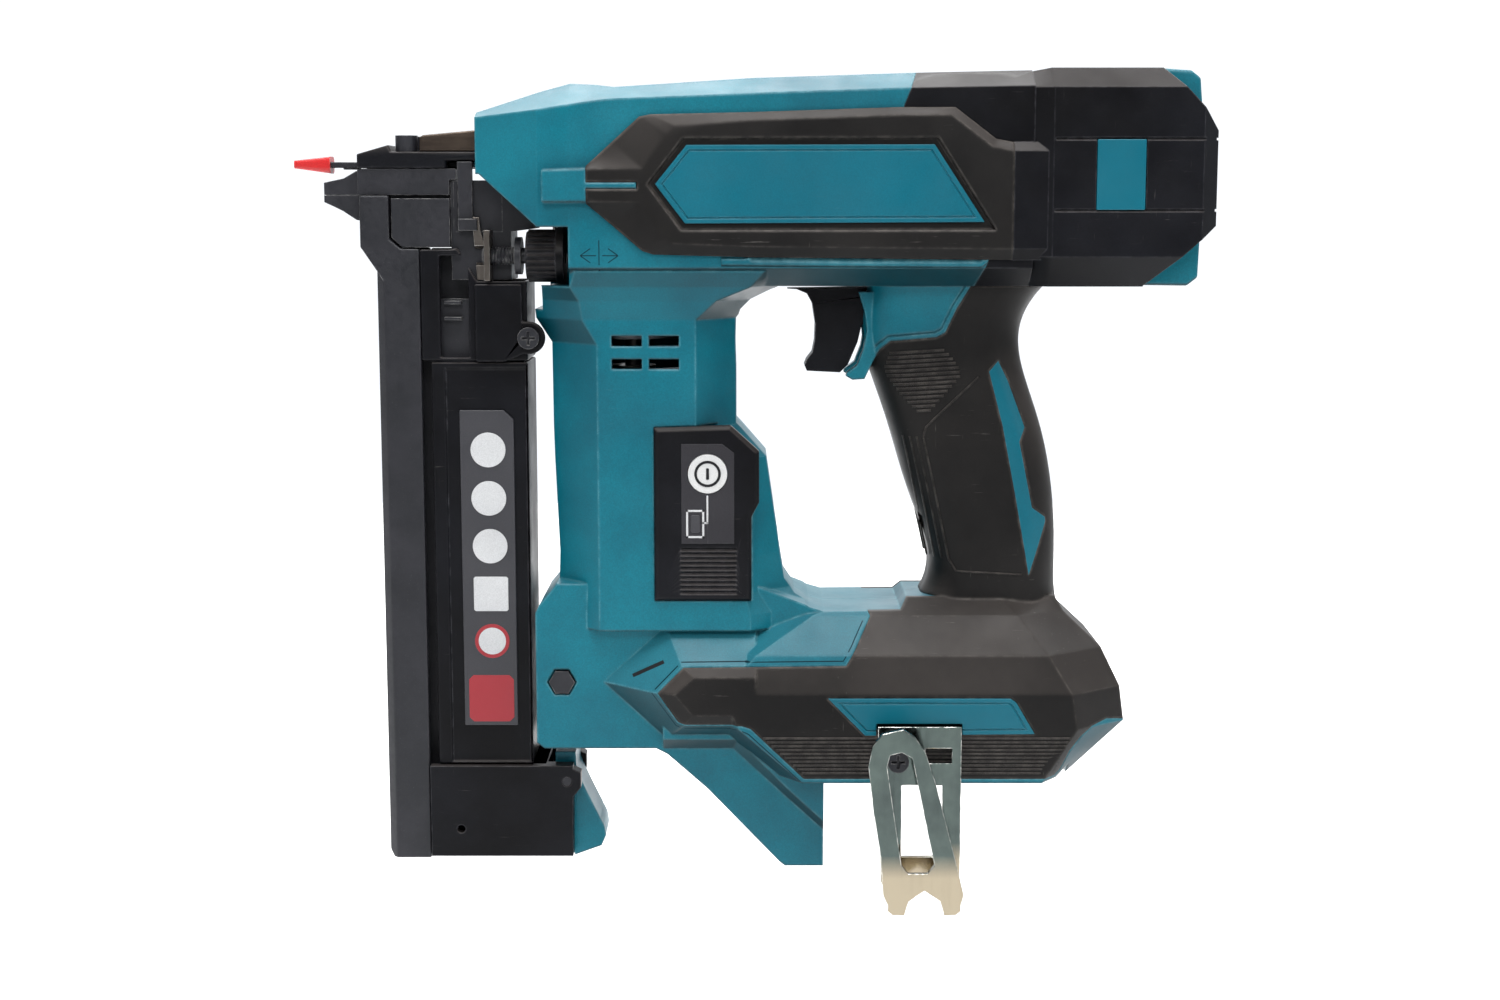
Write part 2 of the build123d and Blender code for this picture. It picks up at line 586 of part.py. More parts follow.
def make_head():
    """Black head cover over the air chamber, its side inserts and its corner bumpers."""
    top_cut = [(289.6, 60), (289.6, 42.6), (303.0, 28.6), (308.5, 21.0), (320, 21), (320, 60)]
    low_cut = [(284.7, -60), (284.7, -31.2), (301.8, -16.0), (308.5, -10.6), (320, -10.6), (320, -60)]
    collar = [(239.0, 17.3), (252.0, 17.3), (252.0, -22.2), (239.0, -22.2)]
    collar_flat = [(239.0, 14.4), (252.0, 14.4), (252.0, -18.4), (239.0, -18.4)]
    with BuildPart() as head:
        octagon_loft(
            Plane.YZ,
            [
                (246.0, head_section(41.4, 35.6, 34.6, -21.0, -31.5)),
                (252.0, head_section(42.4, 35.6, HEAD_SIDE, -21.1, -31.5)),
                (302.6, head_section(42.4, 35.6, HEAD_SIDE, -21.1, -31.5)),
                (308.3, head_section(38.6, 31.0, 33.0, -17.0, -27.0)),
            ],
        )
        add(make_saddle().part)
        # Collars take over from the side panels with the same section.
        for side in (-1, 1):
            levels = [
                (-side * BODY_SIDE, collar),
                (-side * (BODY_SIDE + PANEL_EDGE), collar),
                (-side * (BODY_SIDE + PANEL_PROUD), collar_flat),
            ]
            octagon_loft(Plane.XZ, levels)
        prism(top_cut, -60, 60, Mode.SUBTRACT)
        prism(low_cut, -60, 60, Mode.SUBTRACT)
        rod("X", 230.0, CHAMBER_END + 1.5, (0, 0), CHAMBER_RADIUS + 0.5, Mode.SUBTRACT)
        # Two grooves run round the sides and the back, level with the inserts.
        for z in (HEAD_INSERT_LOW_Z, HEAD_INSERT_HIGH_Z):
            for low, high in both_sides(HEAD_SIDE - 0.7, 60):
                block((252.6, low, z - 0.4), (320, high, z + 0.4), Mode.SUBTRACT)
            block((307.6, -60, z - 0.4), (320, 60, z + 0.4), Mode.SUBTRACT)
        for low, high in both_sides(HEAD_SIDE - 1.5, 60):
            block((266.4, low, HEAD_INSERT_LOW_Z), (283.3, high, HEAD_INSERT_HIGH_Z), Mode.SUBTRACT)
    save(head, "head_cover")
    with BuildPart() as inserts:
        for low, high in both_sides(HEAD_SIDE - 1.5, HEAD_SIDE + 0.2):
            block((266.6, low, HEAD_INSERT_LOW_Z + 0.2), (283.1, high, HEAD_INSERT_HIGH_Z - 0.2))
    save(inserts, "head_inserts")
    with BuildPart() as bumpers:
        top = [(289.6, 42.6), (300.4, 41.9), (303.6, 39.4), (304.8, 26.2), (303.0, 28.6)]
        low = [(284.7, -31.2), (300.8, -31.4), (304.4, -28.6), (304.9, -13.6), (301.8, -16.0)]
        prism(top, -24, 24)
        prism(low, -24, 24)
    save(bumpers, "corner_bumpers")


# ---------------------------------------------------------------- air spring and driver
def ring(axis_plane, start, end, outer, inner, centre=(0, 0)):
    """Adds a tube along the plane's normal to the open part."""
    with BuildSketch(axis_plane.offset(start)) as section:
        with Locations(centre):
            Circle(outer)
            Circle(inner, mode=Mode.SUBTRACT)
    extrude(section.sketch, amount=end - start)


def make_air_spring():
    with BuildPart() as cylinder:
        ring(Plane.YZ, CYLINDER_START, CYLINDER_END, CYLINDER_RADIUS, BORE_RADIUS)
        ring(Plane.YZ, CYLINDER_START, CYLINDER_START + 4, CYLINDER_RADIUS, 8.0)
        ring(Plane.YZ, 186, 192, CHAMBER_RADIUS - 2.4, CYLINDER_RADIUS)
    save(cylinder, "cylinder")
    with BuildPart() as chamber:
        ring(Plane.YZ, 186, CHAMBER_END, CHAMBER_RADIUS, CHAMBER_RADIUS - 2.4)
        rod("X", CHAMBER_END - 4, CHAMBER_END, (0, 0), CHAMBER_RADIUS)
        rear_rim = chamber.edges().filter_by(GeomType.CIRCLE).sort_by(Axis.X)[-1]
        fillet(rear_rim, 6.0)
    save(chamber, "air_chamber")
    with BuildPart() as front_bumper:
        ring(Plane.YZ, CYLINDER_START + 4, PISTON_START - 0.1, BORE_RADIUS - 0.4, 8.0)
    save(front_bumper, "front_bumper")
    with BuildPart() as piston:
        rod("X", PISTON_START, PISTON_START + PISTON_LENGTH, (0, 0), BORE_RADIUS - 0.3)
        for start in (PISTON_START + 2.0, PISTON_START + 8.0):
            ring_groove = Plane.YZ.offset(start)
            with BuildSketch(ring_groove) as groove:
                Circle(BORE_RADIUS + 2)
                Circle(BORE_RADIUS - 2.5, mode=Mode.SUBTRACT)
            extrude(groove.sketch, amount=2.6, mode=Mode.SUBTRACT)
        rod("X", PISTON_START + 5, PISTON_START + PISTON_LENGTH, (0, 0), 8.0, Mode.SUBTRACT)
        block((PISTON_START - 1, -3.0, -0.9), (PISTON_START + 6, 3.0, 0.9), Mode.SUBTRACT)
    save(piston, "piston")
    with BuildPart() as seals:
        for start in (PISTON_START + 2.1, PISTON_START + 8.1):
            ring(Plane.YZ, start, start + 2.4, BORE_RADIUS - 0.05, BORE_RADIUS - 2.5)
    save(seals, "piston_seals")


def make_driver_blade():
    """Flat driver with a rack of teeth on its right edge, which the lifter's pins push back."""
    with BuildPart() as blade:
        half = BLADE_THICKNESS / 2
        block((0.0, -BLADE_HALF, -half), (PISTON_START + 5, BLADE_HALF, half))
        for tooth in range(RACK_TEETH):
            x = LIFTER_X - RACK_PITCH * (tooth - 0.5)
            block((x - 1.4, BLADE_HALF - 0.5, -half), (x + 1.4, RACK_TOOTH_REACH, half))
    save(blade, "driver_blade")


def make_lifter():
    with BuildPart() as wheel:
        with BuildSketch(Plane.XY.offset(-6.5)) as disc:
            with Locations((LIFTER_X, LIFTER_Y)):
                Circle(PIN_CIRCLE + 1.9)
        extrude(disc.sketch, amount=2.7)
        for place in range(1, PIN_COUNT):
            angle = -90 + place * 360 / PIN_COUNT + 180
            x = LIFTER_X + PIN_CIRCLE * math.cos(math.radians(angle))
            y = LIFTER_Y + PIN_CIRCLE * math.sin(math.radians(angle))
            rod("Z", -6.5, 1.6, (x, y), PIN_RADIUS)
        lifter_gear = turned(gear_points(LIFTER_TEETH, SPUR_MODULE), MESH_TURN)
        gear_disc(lifter_gear, (LIFTER_X, LIFTER_Y), -12.5, -6.5)
        rod("Z", -14.0, 6.0, (LIFTER_X, LIFTER_Y), 4.0)
    save(wheel, "lifter_wheel")


def make_gearbox():
    axis = (MOTOR_X, 0)
    with BuildPart() as case:
        with BuildSketch(Plane.XY.offset(-50)) as outside:
            with Locations(axis):
                Circle(22.5)
                Circle(20.6, mode=Mode.SUBTRACT)
        extrude(outside.sketch, amount=29)
        ring(Plane.XY, -23.0, -21.0, 22.5, 5.3, axis)
        ring(Plane.XY, -50.0, -48.0, 22.5, 9.0, axis)
    save(case, "gear_case")
    with BuildPart() as ring_gear:
        ring_points = gear_points(RING_TEETH, PLANET_MODULE, internal=True)
        with BuildSketch(Plane.XY.offset(-44.0)) as section:
            with Locations(axis):
                Circle(20.6)
        extrude(section.sketch, amount=9)
        gear_disc(ring_points, axis, -45.0, -34.0, Mode.SUBTRACT)
    save(ring_gear, "ring_gear")
    for index in range(3):
        angle = 120.0 * index
        x = MOTOR_X + PLANET_ORBIT * math.cos(math.radians(angle))
        y = PLANET_ORBIT * math.sin(math.radians(angle))
        with BuildPart() as planet:
            points = turned(gear_points(PLANET_TEETH, PLANET_MODULE), angle + 180 + 180 / PLANET_TEETH)
            gear_disc(points, (x, y), -43.6, -36.0)
            rod("Z", -50.0, -30.0, (x, y), 2.06, Mode.SUBTRACT)
        save(planet, f"planet_gear_{index + 1}")
    with BuildPart() as carrier:
        with BuildSketch(Plane.XY.offset(-35.0)) as plate:
            with Locations(axis):
                Circle(17.0)
        extrude(plate.sketch, amount=3.5)
        for index in range(3):
            angle = math.radians(120.0 * index)
            place = (MOTOR_X + PLANET_ORBIT * math.cos(angle), PLANET_ORBIT * math.sin(angle))
            rod("Z", -44.5, -34.0, place, 2.0)
        rod("Z", -32.0, -6.5, axis, 5.0)
        pinion = turned(gear_points(PINION_TEETH, SPUR_MODULE), LINE_ANGLE)
        gear_disc(pinion, axis, -12.5, -6.5)
    save(carrier, "planet_carrier")


def make_motor():
    axis = (MOTOR_X, 0)
    with BuildPart() as rotor:
        rod("Z", -121.0, -46.0, axis, 3.0)
        with BuildSketch(Plane.XY.offset(-112.0)) as core:
            with Locations(axis):
                Circle(12.0)
        extrude(core.sketch, amount=34)
        # The sun gear is cut on the top end of the shaft.
        gear_disc(gear_points(SUN_TEETH, PLANET_MODULE), axis, -46.0, -36.2)
    save(rotor, "rotor")
    with BuildPart() as fan:
        ring(Plane.XY, -72.0, -70.4, 21.0, 3.0, axis)
        ring(Plane.XY, -72.0, -64.0, 6.0, 3.0, axis)
        for blade in range(9):
            with BuildSketch(Plane.XY.offset(-70.6)) as vane:
                with PolarLocations(0, 1, start_angle=blade * 40):
                    with Locations((13, 2)):
                        Rectangle(14, 1.2, rotation=18)
            moved = vane.sketch.moved(Location((MOTOR_X, 0, 0)))
            extrude(moved, amount=6)
    save(fan, "cooling_fan")
    with BuildPart() as stator:
        ring(Plane.XY, -114.0, -76.0, 22.0, 18.0, axis)
        for tooth in range(6):
            angle = math.radians(60 * tooth + 30)
            with BuildSketch(Plane.XY.offset(-110.0)) as winding:
                with Locations((MOTOR_X + 15.6 * math.cos(angle), 15.6 * math.sin(angle))):
                    RectangleRounded(6.0, 10.0, 2.5, rotation=60 * tooth + 30)
            extrude(winding.sketch, amount=30)
    save(stator, "stator")
    with BuildPart() as bearings:
        ring(Plane.XY, -121.0, -116.0, 8.0, 3.0 + 0.05, axis)
        ring(Plane.XY, -62.5, -60.4, 8.0, 3.0 + 0.05, axis)
    save(bearings, "motor_bearings")


# ---------------------------------------------------------------- nose
def make_nose():
    with BuildPart() as base:
        tip = [(0, -0.4), (0, -2.8), (3.7, -4.5), (6.7, -6.0), (11.2, -9.0), (13.6, -9.4), (13.6, -0.4)]
        prism(tip, -6.5, 6.5)
        block((13.6, -8.8, -17.5), (45.0, 8.8, -0.4))
        cheek = [(24.6, -1.5), (45, -1.5), (45, -18.4), (28.2, -18.4), (24.6, -15.0)]
        prism(cheek, -NOSE_SIDE, NOSE_SIDE)
        prism([(45, 4.6), (74, 4.6), (74, -12.0), (66.0, -13.0), (66.0, -29.8), (45, -29.8)], -10.5, 10.5)
        prism([(48, 4.8), (57.1, 4.8), (57.1, -1.6), (48, -1.6)], -12.5, 12.5)
        cut_blade_channel()
        cut_staple_slot()
        cut_contact_leg_room()
    save(base, "nose_base")
    with BuildPart() as plate:
        tip = [(0, -0.3), (0, 4), (7, 5.5), (11.3, 8.0), (12.8, 8.3), (12.8, 3.0), (12.8, -0.3)]
        prism(tip, -6.5, 6.5)
        prism([(12.8, -0.3), (12.8, 8.8), (47.2, 8.8), (47.2, 5.0), (44.9, 5.0), (44.9, -0.3)], -12, 12)
        cut_blade_channel()
        # The contact arm's toe slides in this groove.
        block((12.0, -2.7, 8.5), (22.0, 2.7, 9.0), Mode.SUBTRACT)
        for y in (-NOSE_BOLT_Y, NOSE_BOLT_Y):
            rod("Z", -5.0, 20.0, (NOSE_BOLT_X, y), 1.9, Mode.SUBTRACT)
    save(plate, "nose_plate")
    with BuildPart() as cover:
        prism([(12.8, 9.0), (12.8, 13.8), (23.9, 17.0), (25.0, 14.6), (55.2, 14.6), (55.2, 9.0)], -13, 13)
        # Slot for the contact arm, open to the front and to the left at the back.
        block((10.0, -3.4, 8.8), (60.0, 3.4, 11.6), Mode.SUBTRACT)
        block((44.0, -14.0, 8.8), (60.0, 3.4, 11.6), Mode.SUBTRACT)
        for y in (-NOSE_BOLT_Y, NOSE_BOLT_Y):
            rod("Z", 5.0, 20.0, (NOSE_BOLT_X, y), 1.9, Mode.SUBTRACT)
    save(cover, "nose_cover")
    with BuildPart() as bolts:
        for y in (-NOSE_BOLT_Y, NOSE_BOLT_Y):
            rod("Z", 3.0, 15.6, (NOSE_BOLT_X, y), 1.85)
            rod("Z", 14.6, 20.3, (NOSE_BOLT_X, y), 3.9)
            with BuildSketch(Plane.XY.offset(20.3)) as socket:
                with Locations((NOSE_BOLT_X, y)):
                    RegularPolygon(2.0, 6)
            extrude(socket.sketch, amount=-3, mode=Mode.SUBTRACT)
    save(bolts, "nose_bolts")
    with BuildPart() as shield:
        prism([(34.6, 14.7), (34.6, 19.6), (36.0, 20.4), (53.4, 22.0), (56.0, 22.0), (56.0, 14.7)], -12, 12)
    save(shield, "top_shield")


def cut_blade_channel():
    """The driver runs in this slot, which is wider on the right for the blade's teeth."""
    block((-1.0, -3.0, -0.9), (80.0, 3.0, 0.9), Mode.SUBTRACT)
    block((15.0, 2.5, -0.9), (80.0, RACK_TOOTH_REACH + GAP, 0.9), Mode.SUBTRACT)


def cut_staple_slot():
    block((24.0, -3.1, -40.0), (64.0, 3.1, 0.0), Mode.SUBTRACT)


def cut_contact_leg_room():
    block((46.0, -14.0, -13.0), (63.0, -10.4, 12.0), Mode.SUBTRACT)


def make_contact():
    with BuildPart() as arm:
        block((-3.0, -2.8, 9.2), (53.0, 2.8, 11.2))
        block((47.8, -13.2, 9.2), (53.0, 2.8, 11.2))
        block((47.8, -13.2, -12.6), (53.0, -11.4, 11.2))
        block((6.3, -2.4, 8.6), (11.8, 2.4, 9.2))
        # A lug over the depth plate ties the two together.
        prism([(48.0, -12.6), (54.6, -12.6), (54.6, -8.6), (48.0, -8.6)], -14.6, -13.2)
    save(arm, "contact_arm")
    with BuildPart() as cap:
        with BuildSketch(Plane.YZ.offset(-11.2)) as tip:
            with Locations((0, 10.4)):
                RectangleRounded(4.0, 2.8, 1.0)
        with BuildSketch(Plane.YZ.offset(1.9)) as base:
            with Locations((0, 10.2)):
                RectangleRounded(8.6, 6.0, 2.0)
        loft([tip.sketch, base.sketch])
        block((-3.0, -2.8, 9.2), (3.0, 2.8, 11.2), Mode.SUBTRACT)
    save(cap, "contact_cap")
    with BuildPart() as plate:
        side = [
            (53.0, -8.0), (53.0, -12.0), (54.2, -29.8), (59.6, -29.8), (59.6, -24.8), (56.9, -16.8),
            (55.5, -12.4), (55.2, -8.0),
        ]
        prism(side, -13.2, -11.4)
        block((57.6, -21.0, -29.8), (59.6, -11.4, -12.4))
        rod("X", 50.0, 62.0, (KNOB_Y, KNOB_Z), SCREW_RADIUS + GAP, Mode.SUBTRACT)
    save(plate, "depth_plate")


def make_depth_adjuster():
    centre = (KNOB_Y, KNOB_Z)
    with BuildPart() as screw:
        rod("X", 56.4, 84.0, centre, SCREW_RADIUS - 0.45)
        turns = 11
        for turn in range(turns):
            start = 56.6 + turn
            with BuildSketch(Plane.YZ.offset(start)) as root:
                with Locations(centre):
                    Circle(SCREW_RADIUS - 0.45)
            with BuildSketch(Plane.YZ.offset(start + 0.4)) as crest:
                with Locations(centre):
                    Circle(SCREW_RADIUS)
            with BuildSketch(Plane.YZ.offset(start + 0.8)) as end:
                with Locations(centre):
                    Circle(SCREW_RADIUS - 0.45)
            loft([root.sketch, crest.sketch])
            loft([crest.sketch, end.sketch])
        rod("X", 67.9, 70.2, centre, 6.5)
    save(screw, "depth_screw")
    with BuildPart() as knob:
        rod("X", 72.0, 85.2, centre, 8.4)
        rod("X", 82.4, 85.2, centre, 9.8)
        for rib in range(24):
            angle = math.radians(rib * 15)
            place = (centre[0] + 8.4 * math.cos(angle), centre[1] + 8.4 * math.sin(angle))
            rod("X", 72.6, 82.4, place, 0.75)
        rod("X", 70.0, 90.0, centre, SCREW_RADIUS - 0.45 + 0.06, Mode.SUBTRACT)
    save(knob, "depth_knob")


# ---------------------------------------------------------------- magazine
def make_magazine():
    with BuildPart() as rail:
        head = [
            (13.7, -0.5), (23.8, -0.5), (23.8, -15.6), (27.9, -19.0), (34.2, -19.0), (34.2, -238.8),
            (20.3, -238.8), (18.9, -236.6), (18.9, -26.0), (13.7, -18.3),
        ]
        prism(head, -MAGAZINE_SIDE, MAGAZINE_SIDE)
        vertical = rail.edges().filter_by(Axis.Z).group_by(Axis.X)[1]
        chamfer(vertical, 3.0)
        # Hollow from behind, with room for the nose block at the top.
        block((13.5, -8.9, -17.6), (40.0, 8.9, 5.0), Mode.SUBTRACT)
        block((22.6, -12.0, -236.0), (40.0, 12.0, -19.0), Mode.SUBTRACT)
        # The core that the staples ride on, joined to the front wall.
        block((22.0, -1.4, -232.0), (58.0, 1.4, -19.8))
    save(rail, "magazine_rail")
    with BuildPart() as upper:
        outline = [
            (34.4, -19.2), (44.8, -19.2), (47.4, -18.6), (54.2, -30.2), (MAGAZINE_REAR, -30.2),
            (MAGAZINE_REAR, -58.0), (34.4, -58.0),
        ]
        prism(outline, -MAGAZINE_SIDE, MAGAZINE_SIDE)
        prism([(30, -10), (70.0, -10), (70.0, -70), (30, -70)], -12.2, 12.2, Mode.SUBTRACT)
        # Windows that show how many staples are left.
        block((41.2, -20, -57.0), (51.2, 20, -21.2), Mode.SUBTRACT)
    save(upper, "magazine_upper")
    with BuildPart() as side_plate:
        outline = [
            (53.5, -31.2), (70.0, -31.2), (70.0, -44.2), (72.3, -44.2), (72.3, -55.6), (70.0, -55.6),
            (64.0, -58.2), (53.5, -58.2),
        ]
        prism(outline, -MAGAZINE_SIDE - 1.8, -MAGAZINE_SIDE)
        rod("Y", -MAGAZINE_SIDE - 1.8, -MAGAZINE_SIDE, (EAR_X, EAR_Z), 5.7)
        rod("Y", -30, 0, (EAR_X, EAR_Z), 1.6, Mode.SUBTRACT)
    save(side_plate, "side_plate")
    with BuildPart() as cover:
        outline = [(37.6, -58.6), (MAGAZINE_REAR, -58.6), (MAGAZINE_REAR, -203.8), (37.6, -203.8)]
        prism(outline, -MAGAZINE_SIDE + 0.2, MAGAZINE_SIDE - 0.2)
        inside_rear = MAGAZINE_REAR - 2.2
        prism([(30, -50), (inside_rear, -50), (inside_rear, -210), (30, -210)], -12.0, 12.0, Mode.SUBTRACT)
        # The sides step in behind the front rib.
        for low, high in both_sides(MAGAZINE_SIDE - 1.0, 30):
            block((42.6, low, -203.0), (MAGAZINE_REAR - 0.8, high, -60.8), Mode.SUBTRACT)
    save(cover, "magazine_cover")
    with BuildPart() as end_cap:
        outline = [
            (34.6, -204.0), (86.0, -204.0), (86.0, -205.2), (88.8, -206.6), (88.8, -212.0), (86.0, -215.4),
            (85.8, -237.5), (34.6, -237.5),
        ]
        prism(outline, -16.5, 16.5)
        prism([(30, -190), (76.0, -190), (76.0, -234.5), (30, -234.5)], -13.0, 13.0, Mode.SUBTRACT)
        # A clevis at the back holds the latch.
        block((76.5, -10.4, -245), (100, 10.4, -195), Mode.SUBTRACT)
        rod("Y", -30, 30, (LATCH_PIN_X, LATCH_PIN_Z), 1.75, Mode.SUBTRACT)
        rod("Y", -30, 30, (PANEL_PIN_X, PANEL_PIN_Z), 1.5, Mode.SUBTRACT)
    save(end_cap, "magazine_end_cap")
    with BuildPart() as lever:
        outline = [
            (79.2, -200.4), (86.4, -200.4), (86.8, -207.2), (90.6, -215.7), (96.6, -228.1), (97.2, -231.9),
            (95.6, -235.5), (86.0, -239.0), (84.6, -236.0), (83.0, -216.0), (80.2, -212.0), (79.2, -205.5),
        ]
        prism(outline, -10.0, 10.0)
        for scallop in range(6):
            drop = 3.3 * scallop
            rod("Y", -30, 30, (90.2 + 0.46 * drop, -211.5 - drop), 1.3, Mode.SUBTRACT)
        rod("Y", -30, 30, (LATCH_PIN_X, LATCH_PIN_Z), 1.75, Mode.SUBTRACT)
    save(lever, "latch_lever")
    with BuildPart() as pin:
        rod("Y", -16.2, 16.2, (LATCH_PIN_X, LATCH_PIN_Z), 1.7)
    save(pin, "latch_pin")
    with BuildPart() as follower:
        block((37.0, -9.0, -62.0), (60.0, 9.0, -36.5))
        block((36.0, -1.8, -70.0), (58.6, 1.8, -30.0), Mode.SUBTRACT)
        for z in (-37.8, -43.4):
            block((42.2, -11.8, z - 0.5), (48.2, 11.8, z + 0.5))
        block((36.0, -1.8, -70.0), (58.6, 1.8, -30.0), Mode.SUBTRACT)
    save(follower, "staple_follower")
    with BuildPart() as spring:
        ring(Plane.XY, -234.0, -62.4, 2.4, 1.8, (64.0, 0.0))
    save(spring, "follower_spring")


# ---------------------------------------------------------------- trigger, switch and control panel
def make_trigger():
    with BuildPart() as trigger:
        outline = [
            (163.0, -33.1), (166.3, -33.3), (169.9, -34.8), (171.9, -38.4), (173.0, -45.5), (172.8, -51.6),
            (172.0, -55.7), (170.0, -58.3), (169.2, -60.3), (170.0, -62.2), (181.8, -62.8), (184.6, -60.0),
            (188.0, -52.0), (189.4, -46.0), (194.6, -41.0), (195.4, -34.0), (191.0, -32.6),
        ]
        prism(outline, -6.3, 6.3)
        rod("Y", -30, 30, (TRIGGER_PIVOT_X, TRIGGER_PIVOT_Z), 1.55, Mode.SUBTRACT)
    save(trigger, "trigger")
    with BuildPart() as pin:
        rod("Y", -9.5, 9.5, (TRIGGER_PIVOT_X, TRIGGER_PIVOT_Z), 1.5)
    save(pin, "trigger_pin")
    with BuildPart() as switch:
        block((204.0, -9.5, -60.0), (228.0, 9.5, -32.5))
        block((196.5, -4.0, -52.0), (204.0, 4.0, -46.0))
    save(switch, "switch_unit")


def make_control_panel():
    with BuildPart() as panel:
        prism(CONTROL_PANEL, -COLUMN_SIDE - 2.0, -COLUMN_SIDE + 2.0)
        front = panel.faces().sort_by(Axis.Y)[0]
        chamfer(front.edges(), 1.2)
        rod("Y", -60, 0, (BUTTON_X, BUTTON_Z), 7.0, Mode.SUBTRACT)
        block((128.1, -60, -117.8), (133.4, -COLUMN_SIDE - 1.5, -109.3), Mode.SUBTRACT)
        for rib in range(10):
            z = -122.6 - 1.7 * rib
            block((125.6, -60, z - 0.45), (145.0, -COLUMN_SIDE - 1.3, z + 0.45), Mode.SUBTRACT)
    save(panel, "control_panel")
    with BuildPart() as button:
        rod("Y", -COLUMN_SIDE - 2.5, -COLUMN_SIDE + 1.0, (BUTTON_X, BUTTON_Z), 6.8)
    save(button, "power_button")


# ---------------------------------------------------------------- battery foot
def make_foot_parts():
    with BuildPart() as terminal:
        block((186.0, -14.0, -203.6), (228.0, 14.0, -190.0))
        for y in (-9.0, -3.0, 3.0, 9.0):
            block((205.0, y - 0.8, -204.0), (229.0, y + 0.8, -196.0), Mode.SUBTRACT)
    save(terminal, "terminal_block")
    with BuildPart() as contacts:
        for y in (-9.0, -3.0, 3.0, 9.0):
            block((205.0, y - 0.4, -203.4), (222.0, y + 0.4, -196.0))
    save(contacts, "terminal_blades")
    with BuildPart() as board:
        block((168.0, -26.0, -180.0), (212.0, 26.0, -172.0))
    save(board, "controller_board")


def make_belt_hook():
    """Sheet-metal hook: a screwed back plate, a bend at the bottom and an arm that stands off."""
    plate_y = HOOK_PLATE_Y
    arm_y = plate_y - HOOK_STAND_OFF
    with BuildPart() as hook:
        claws = [
            (223.4, -239.0), (222.4, -242.6), (222.4, -244.6), (220.6, -246.2), (216.6, -246.2),
            (215.4, -241.2), (209.8, -237.4), (204.4, -241.2), (202.9, -246.2), (198.8, -246.2),
            (197.2, -244.6), (197.2, -242.6), (195.6, -239.0),
        ]
        plate = [(194.4, -187.6), (223.4, -187.6)] + claws
        prism(plate, plate_y - HOOK_SHEET, plate_y)
        prism([(202.7, -204.2), (216.9, -204.2), (216.9, -230.0), (202.7, -230.0)], -60, 0, Mode.SUBTRACT)
        prism([(210.8, -191.0), (220.1, -191.0), (220.1, -196.4), (210.8, -196.4)], -60, 0, Mode.SUBTRACT)
        rod("Y", -60, 0, HOOK_SCREW, 2.3, Mode.SUBTRACT)
        # A lip at the top of the plate bends into the slot in the foot.
        block((194.4, plate_y - HOOK_SHEET, -187.8), (223.4, plate_y, -183.4))
        block((194.4, plate_y - HOOK_SHEET, -185.2), (223.4, -36.4, -183.4))
        arm = claws + [
            (194.6, -224.8), (192.1, -209.6), (190.2, -193.5), (191.6, -186.4), (195.0, -182.2),
            (202.0, -180.6), (206.2, -183.4), (209.6, -188.4), (213.0, -198.5), (216.7, -212.6),
            (220.4, -226.8),
        ]
        prism(arm, arm_y - HOOK_SHEET, arm_y)
        window = [
            (197.6, -189.6), (201.6, -188.6), (205.2, -190.6), (213.2, -228.4), (210.8, -231.4),
            (204.2, -231.4), (201.8, -228.4), (196.6, -193.6),
        ]
        prism(window, -60, arm_y + 2, Mode.SUBTRACT)
        for x_low, x_high in ((198.8, 202.9), (216.6, 220.6)):
            block((x_low, arm_y - HOOK_SHEET, -246.2), (x_high, plate_y, -244.6))
    save(hook, "belt_hook")


def cross_screw(place, seat_y, end_y):
    """Adds a pan-head screw with a cross recess, driven in from the left, to the open part."""
    rod("Y", seat_y - 2.4, seat_y, place, 3.8)
    rod("Y", seat_y - 0.5, end_y, place, 1.55)
    for size in ((4.8, 0.95), (0.95, 4.8)):
        with BuildSketch(Plane.XZ.offset(1.2 - seat_y)) as cross:
            with Locations(place):
                Rectangle(*size)
        extrude(cross.sketch, amount=3, mode=Mode.SUBTRACT)


def make_fasteners():
    with BuildPart() as cross_screws:
        cross_screw((EAR_X, EAR_Z), -MAGAZINE_SIDE - 1.8, -MAGAZINE_SIDE)
        cross_screw(HOOK_SCREW, HOOK_PLATE_Y - HOOK_SHEET, -31.5)
    save(cross_screws, "cross_screws")
    with BuildPart() as screws:
        for place in HOUSING_SCREWS:
            rod("Y", SCREW_TIP_Y, SCREW_SEAT_Y, place, 1.55)
            rod("Y", SCREW_SEAT_Y, SCREW_SEAT_Y + 3.0, place, 3.4)
    save(screws, "housing_screws")
    with BuildPart() as bolt:
        rod("Y", -SKIRT_SIDE + 0.2, 20.0, MAGAZINE_BOLT, 2.5)
        with BuildSketch(Plane.XZ.offset(SKIRT_SIDE - 2.5)) as head:
            with Locations(MAGAZINE_BOLT):
                RegularPolygon(4.6, 6)
        extrude(head.sketch, amount=3.0)
    save(bolt, "magazine_bolt")


make_housing()
make_side_panels()
make_grips()
make_head()
make_air_spring()
make_driver_blade()
make_lifter()
make_gearbox()
make_motor()
make_nose()
make_contact()
make_depth_adjuster()
make_magazine()
make_trigger()
make_control_panel()
make_foot_parts()
make_belt_hook()
make_fasteners()
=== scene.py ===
"""Looks for the cordless narrow-crown brad nailer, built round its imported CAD."""
import json
import math

import bmesh
import bpy
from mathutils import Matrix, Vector
from mathutils.bvhtree import BVHTree


